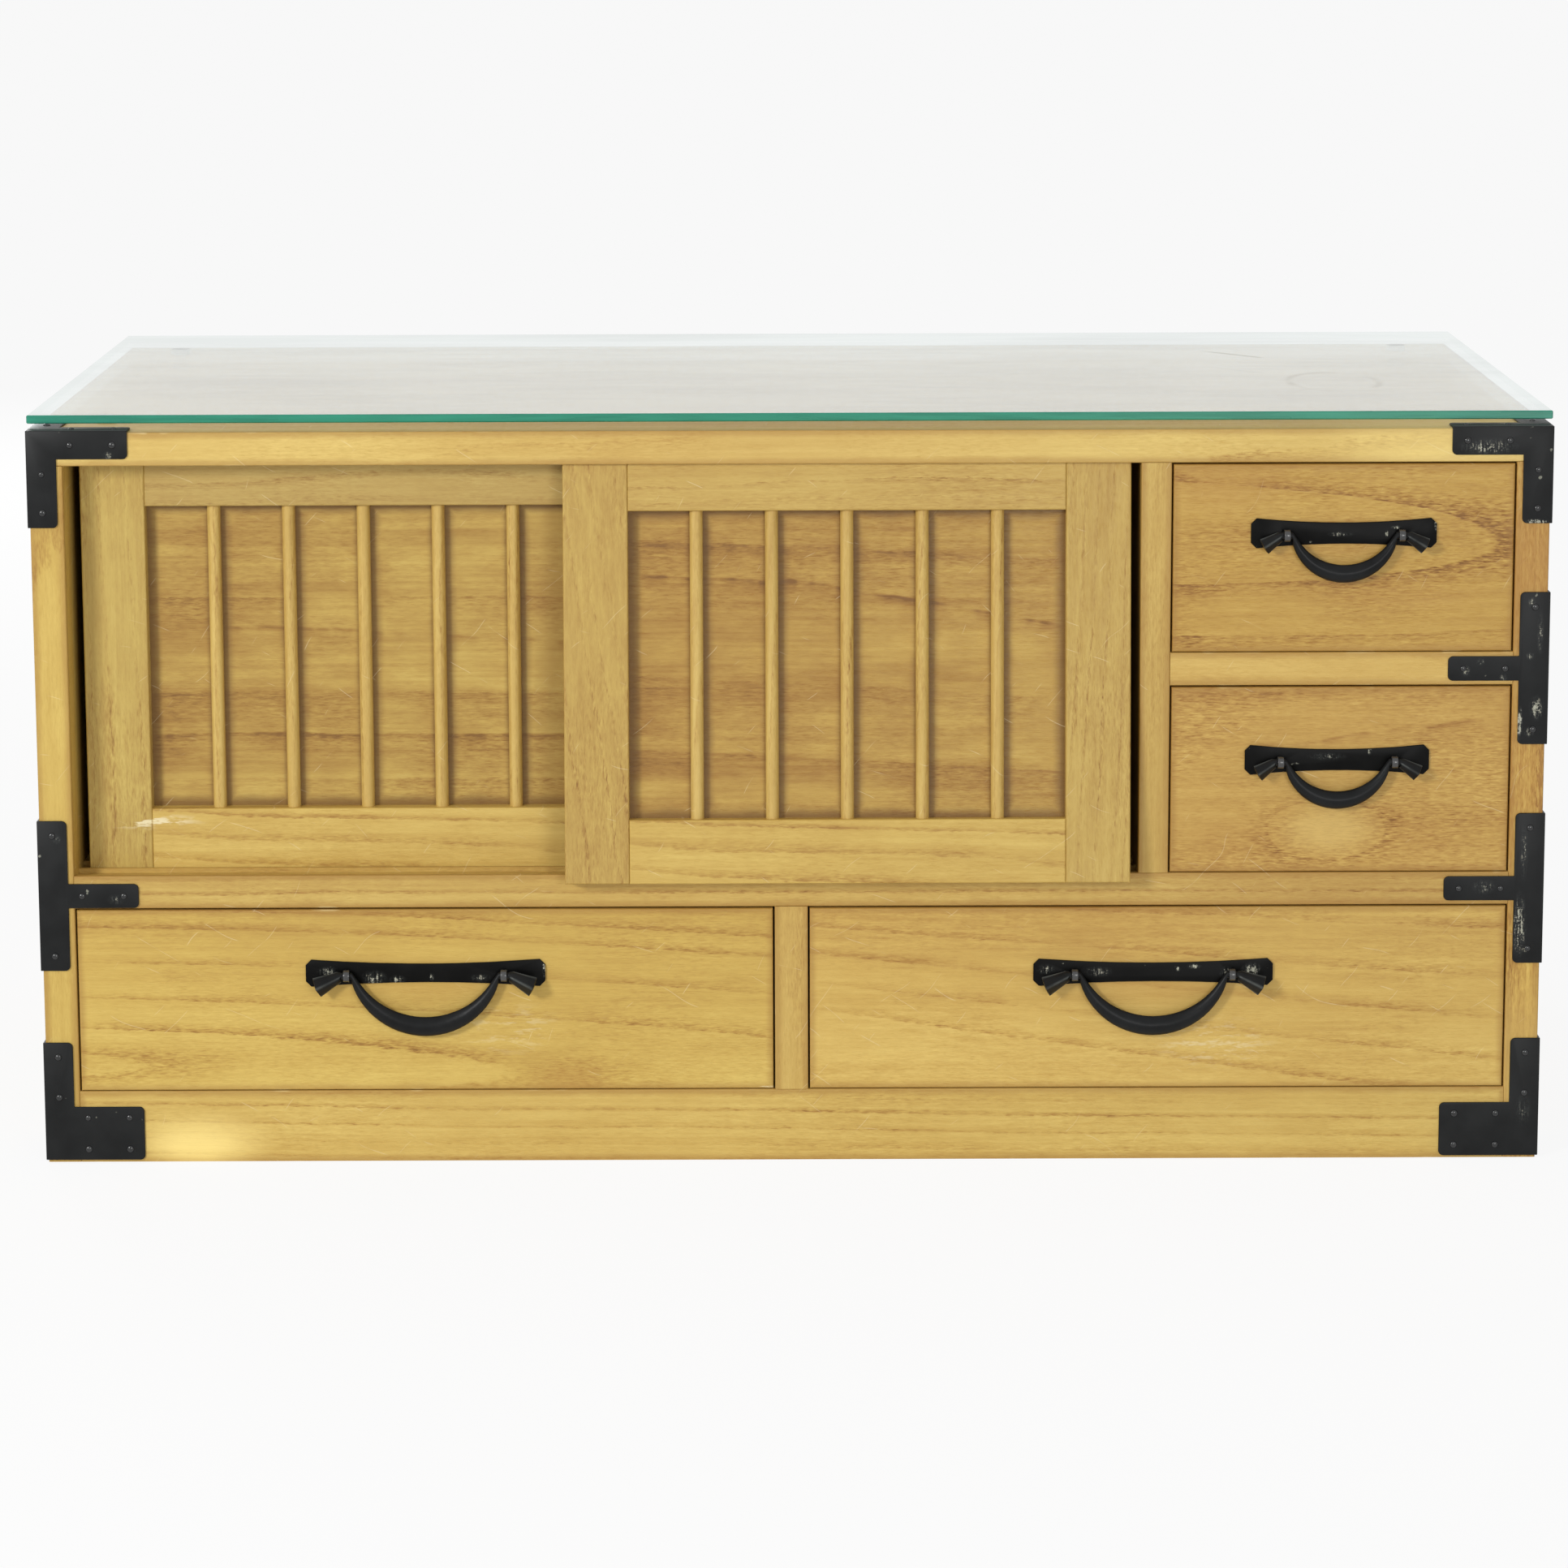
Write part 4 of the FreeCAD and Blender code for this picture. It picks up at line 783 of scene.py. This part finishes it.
plate_black = black_iron("handle plates", PLATE_MARKS, (0.002, 0.002, 0.0018), 0.4, shine_level=0.08,
                         flecks=0.8)
bail_black = black_iron("forged bails", (), (0.008, 0.0086, 0.009), 0.36, forged=0.6, shine_level=0.13,
                        flecks=0.0, ridged=True)
eye_black = black_iron("worn eyes", (), (0.03, 0.03, 0.03), 0.26, shine_level=0.7)
for drawer, (kind, x, z) in HANDLES.items():
    eased(f"{drawer}_plate_eased", f"{drawer}_handle_plate", EASE, plate_black, drawer)
    eased(f"{drawer}_eyes_eased", f"{drawer}_handle_eyes", EYE_EASE, eye_black, drawer)
    bail = forged_bar(f"{drawer}_forged_bail", bail_rings(**BAILS[kind]),
                      Vector((x, FRONT - PIVOT_OUT, z)), bail_black)
    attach(bail, f"{drawer}_bail")
    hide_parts(f"{drawer}_bail")

# Glass. One loose sheet of float glass with ground edges, green when seen edge on, dusty and
# smeared on top. It rests on pads and lifts straight off.

EDGE_GREEN, DUST, STAIN = (0.012, 0.245, 0.155), (0.78, 0.78, 0.76), (0.45, 0.42, 0.36)


def clear_face(name, dusty):
    """A face of the sheet: clear from above, mirror-like at a low angle, with a film of dust."""
    material = bpy.data.materials.new(name)
    material.use_nodes = True
    tree = material.node_tree
    tree.nodes.clear()
    place = Shade(tree, tree.nodes.new("ShaderNodeTexCoord").outputs["Object"])
    facing = place.node("ShaderNodeLayerWeight", None, {"Blend": 0.5}, 1)
    mirror = 0.04 + (facing ** 5) * 0.9
    see_through = place.node("ShaderNodeBsdfTransparent", None, {"Color": (0.99, 0.995, 0.992, 1)})
    gloss = place.node("ShaderNodeBsdfGlossy", None, {"Color": (0.97, 0.99, 0.985, 1), "Roughness": 0.02})
    pane = place.node("ShaderNodeMixShader", None, {0: mirror, 1: see_through, 2: gloss})
    if dusty:
        smears = place.cloud((5, 14, 5), 3.0, 0.6).ease(0.35, 0.7)
        wiped = place.cloud((3, 7, 3), 2.0).ease(0.5, 0.7)
        film = (0.06 + smears * 0.13 + wiped * 0.1) * (facing ** 2)
        powder = place.node("ShaderNodeBsdfDiffuse", None, {"Color": (*DUST, 1)})
        pane = place.node("ShaderNodeMixShader", None, {0: film, 1: pane, 2: powder})
        # A ring that something wet left, and a dried drip beside it
        x, y, _ = place.parts()
        from_middle = (((x - 0.34) / 0.029) ** 2 + ((y + 0.055) / 0.05) ** 2) ** 0.5
        ring = from_middle.ease(0.84, 0.96) * from_middle.ease(0.96, 1.1, 1.0, 0.0)
        ring = ring * place.cloud((25, 25, 25), 2.0).ease(0.36, 0.56)
        drip = abs(y - 0.13 + (x - 0.262) * 1.1).ease(0.0008, 0.004, 1.0, 0.0)
        drip = drip * x.ease(0.27, 0.285) * x.ease(0.305, 0.312, 1.0, 0.0)
        stain = place.node("ShaderNodeBsdfTransparent", None, {"Color": (*STAIN, 1)})
        pane = place.node("ShaderNodeMixShader", None, {0: ring * 0.15 + drip * 0.35, 1: pane, 2: stain})
    output = tree.nodes.new("ShaderNodeOutputMaterial")
    tree.links.new(pane.socket, output.inputs["Surface"])
    return material


def green_edge():
    """The ground edge: deep green from outside, nearly clear where it is seen from within."""
    material, shader, place = bare_finish("glass edge", Specular_IOR_Level=0.5)
    streaks = place.cloud((20, 20, 300), 2.0)
    tone = streaks.node("ShaderNodeValToRGB", {"stops": [
        (0.3, tuple(0.86 * c for c in EDGE_GREEN)), (0.7, tuple(1.14 * c + 0.004 for c in EDGE_GREEN))]},
        {0: streaks})
    lay_on(shader, tone, 0.22 + streaks * 0.12, streaks, 0.1)
    tree = material.node_tree
    inside = Shade(tree, tree.nodes.new("ShaderNodeNewGeometry").outputs["Backfacing"])
    clear = place.node("ShaderNodeBsdfTransparent", None, {"Color": (0.86, 0.91, 0.89, 1)})
    mixed = place.node("ShaderNodeMixShader", None, {0: inside, 1: Shade(tree, shader.outputs[0]), 2: clear})
    output = next(node for node in tree.nodes if node.type == "OUTPUT_MATERIAL")
    tree.links.new(mixed.socket, output.inputs["Surface"])
    return material


glass = bpy.data.objects.new("glass_sheet", NODES["glass_top"].data.copy())
bpy.context.scene.collection.objects.link(glass)
shape = joined(glass.data)
shape.to_mesh(glass.data)
shape.free()
glass.data.materials.clear()
for material in (clear_face("glass upper face", True), clear_face("glass under face", False), green_edge()):
    glass.data.materials.append(material)
UPPER, UNDER, EDGE, LEVEL = 0, 1, 2, 0.9
for face in glass.data.polygons:
    face.material_index = UPPER if face.normal.z > LEVEL else UNDER if face.normal.z < -LEVEL else EDGE
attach(glass, "glass")
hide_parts("glass_top")

# Pads. Four small clear pads that keep the sheet off the wood, one near each corner of the top,
# slightly cloudy with age.

pad_clear, shader, place = bare_finish("clear pads", Specular_IOR_Level=0.5)
mist = place.cloud((300, 300, 300), 2.0)
tone = mist.node("ShaderNodeValToRGB",
                 {"stops": [(0.3, (0.5, 0.5, 0.44)), (0.7, (0.66, 0.66, 0.6))]}, {0: mist})
lay_on(shader, tone, 0.25 + mist * 0.2, mist, 0.1)
dress("glass_pads", pad_clear)

# Studio. A wide sheet of white paper in a white room, a soft lamp high at the left, a weaker one
# at the right, one behind for the back, and the camera in front, a little above the chest.

PAPER_HALF, PAPER_GREY, PAPER_GLOW = 60, 0.86, 0.9
ROOM_LIGHT, ROOM_SEEN = 0.44, 0.95


def in_view(tree):
    """1 where the eye looks, also through glass or by a mirror, and 0 where only light falls."""
    path = tree.nodes.new("ShaderNodeLightPath")
    seen = Shade(tree, path.outputs["Is Camera Ray"])
    for words in ("Is Glossy Ray", "Is Transmission Ray"):
        seen = seen.most(Shade(tree, path.outputs[words]))
    return seen


def matt_paper():
    """Matt paper that keeps the chest's shadow and looks nearly white."""
    material = bpy.data.materials.new("white paper")
    material.use_nodes = True
    tree = material.node_tree
    tree.nodes.clear()
    seen = in_view(tree)
    paper = seen.node("ShaderNodeBsdfDiffuse", None, {"Color": (PAPER_GREY, PAPER_GREY, PAPER_GREY, 1)})
    glow = seen.node("ShaderNodeEmission", None, {"Color": (1, 1, 1, 1), "Strength": 1.0})
    mixed = seen.node("ShaderNodeMixShader", None, {0: seen * PAPER_GLOW, 1: paper, 2: glow})
    output = tree.nodes.new("ShaderNodeOutputMaterial")
    tree.links.new(mixed.socket, output.inputs["Surface"])
    return material


paper_mesh = bpy.data.meshes.new("paper")
corners = [(x * PAPER_HALF, y * PAPER_HALF, 0) for x, y in ((-1, -1), (1, -1), (1, 1), (-1, 1))]
paper_mesh.from_pydata(corners, [], [(0, 1, 2, 3)])
paper_mesh.materials.append(matt_paper())
paper = bpy.data.objects.new("paper", paper_mesh)
bpy.context.scene.collection.objects.link(paper)

world = bpy.data.worlds.new("white room")
bpy.context.scene.world = world
world.use_nodes = True
tree = world.node_tree
tree.nodes.clear()
strength = ROOM_LIGHT + in_view(tree) * (ROOM_SEEN - ROOM_LIGHT)
air = strength.node("ShaderNodeBackground", None, {"Color": (1, 1, 1, 1), "Strength": strength})
output = tree.nodes.new("ShaderNodeOutputWorld")
tree.links.new(air.socket, output.inputs["Surface"])

AIM_HIGH = 0.22
for name, spot, size, power in (("left lamp", (-1.9, -2.5, 1.25), 0.55, 43.0),
                                ("right lamp", (0.9, -3.1, 0.75), 0.8, 20.0),
                                ("back lamp", (-1.5, 3.0, 1.3), 0.8, 24.0)):
    lamp = bpy.data.lights.new(name, "AREA")
    lamp.size, lamp.energy = size, power
    holder = bpy.data.objects.new(name, lamp)
    holder.location = spot
    aim = Vector((0, math.copysign(FRONT, spot[1]), AIM_HIGH)) - Vector(spot)
    holder.rotation_euler = aim.to_track_quat("-Z", "Y").to_euler()
    bpy.context.scene.collection.objects.link(holder)

CAMERA_SPOT, SHIFT_UP, SENSOR_WIDE = (-0.0054, -2.9212, 0.7968), -0.13, 36
PITCH, YAW, ROLL = math.radians(9.268), math.radians(0.036), math.radians(-0.184)
FOCUS_PIXELS, FRAME_PIXELS = 5690, 1932
camera = bpy.data.cameras.new("camera")
camera.sensor_width = SENSOR_WIDE
camera.lens = FOCUS_PIXELS / FRAME_PIXELS * SENSOR_WIDE
camera.shift_y = SHIFT_UP
stand = bpy.data.objects.new("camera", camera)
ahead = Vector((math.sin(YAW) * math.cos(PITCH), math.cos(YAW) * math.cos(PITCH), -math.sin(PITCH)))
level = Vector((math.cos(YAW), -math.sin(YAW), 0))
rightward = level * math.cos(ROLL) + level.cross(ahead) * math.sin(ROLL)
upward = rightward.cross(ahead)
facing = Matrix((rightward, upward, -ahead)).transposed().to_4x4()
stand.matrix_world = Matrix.Translation(CAMERA_SPOT) @ facing
bpy.context.scene.collection.objects.link(stand)
bpy.context.scene.camera = stand
bpy.context.scene.view_settings.view_transform = "Standard"

bpy.context.view_layer.update()
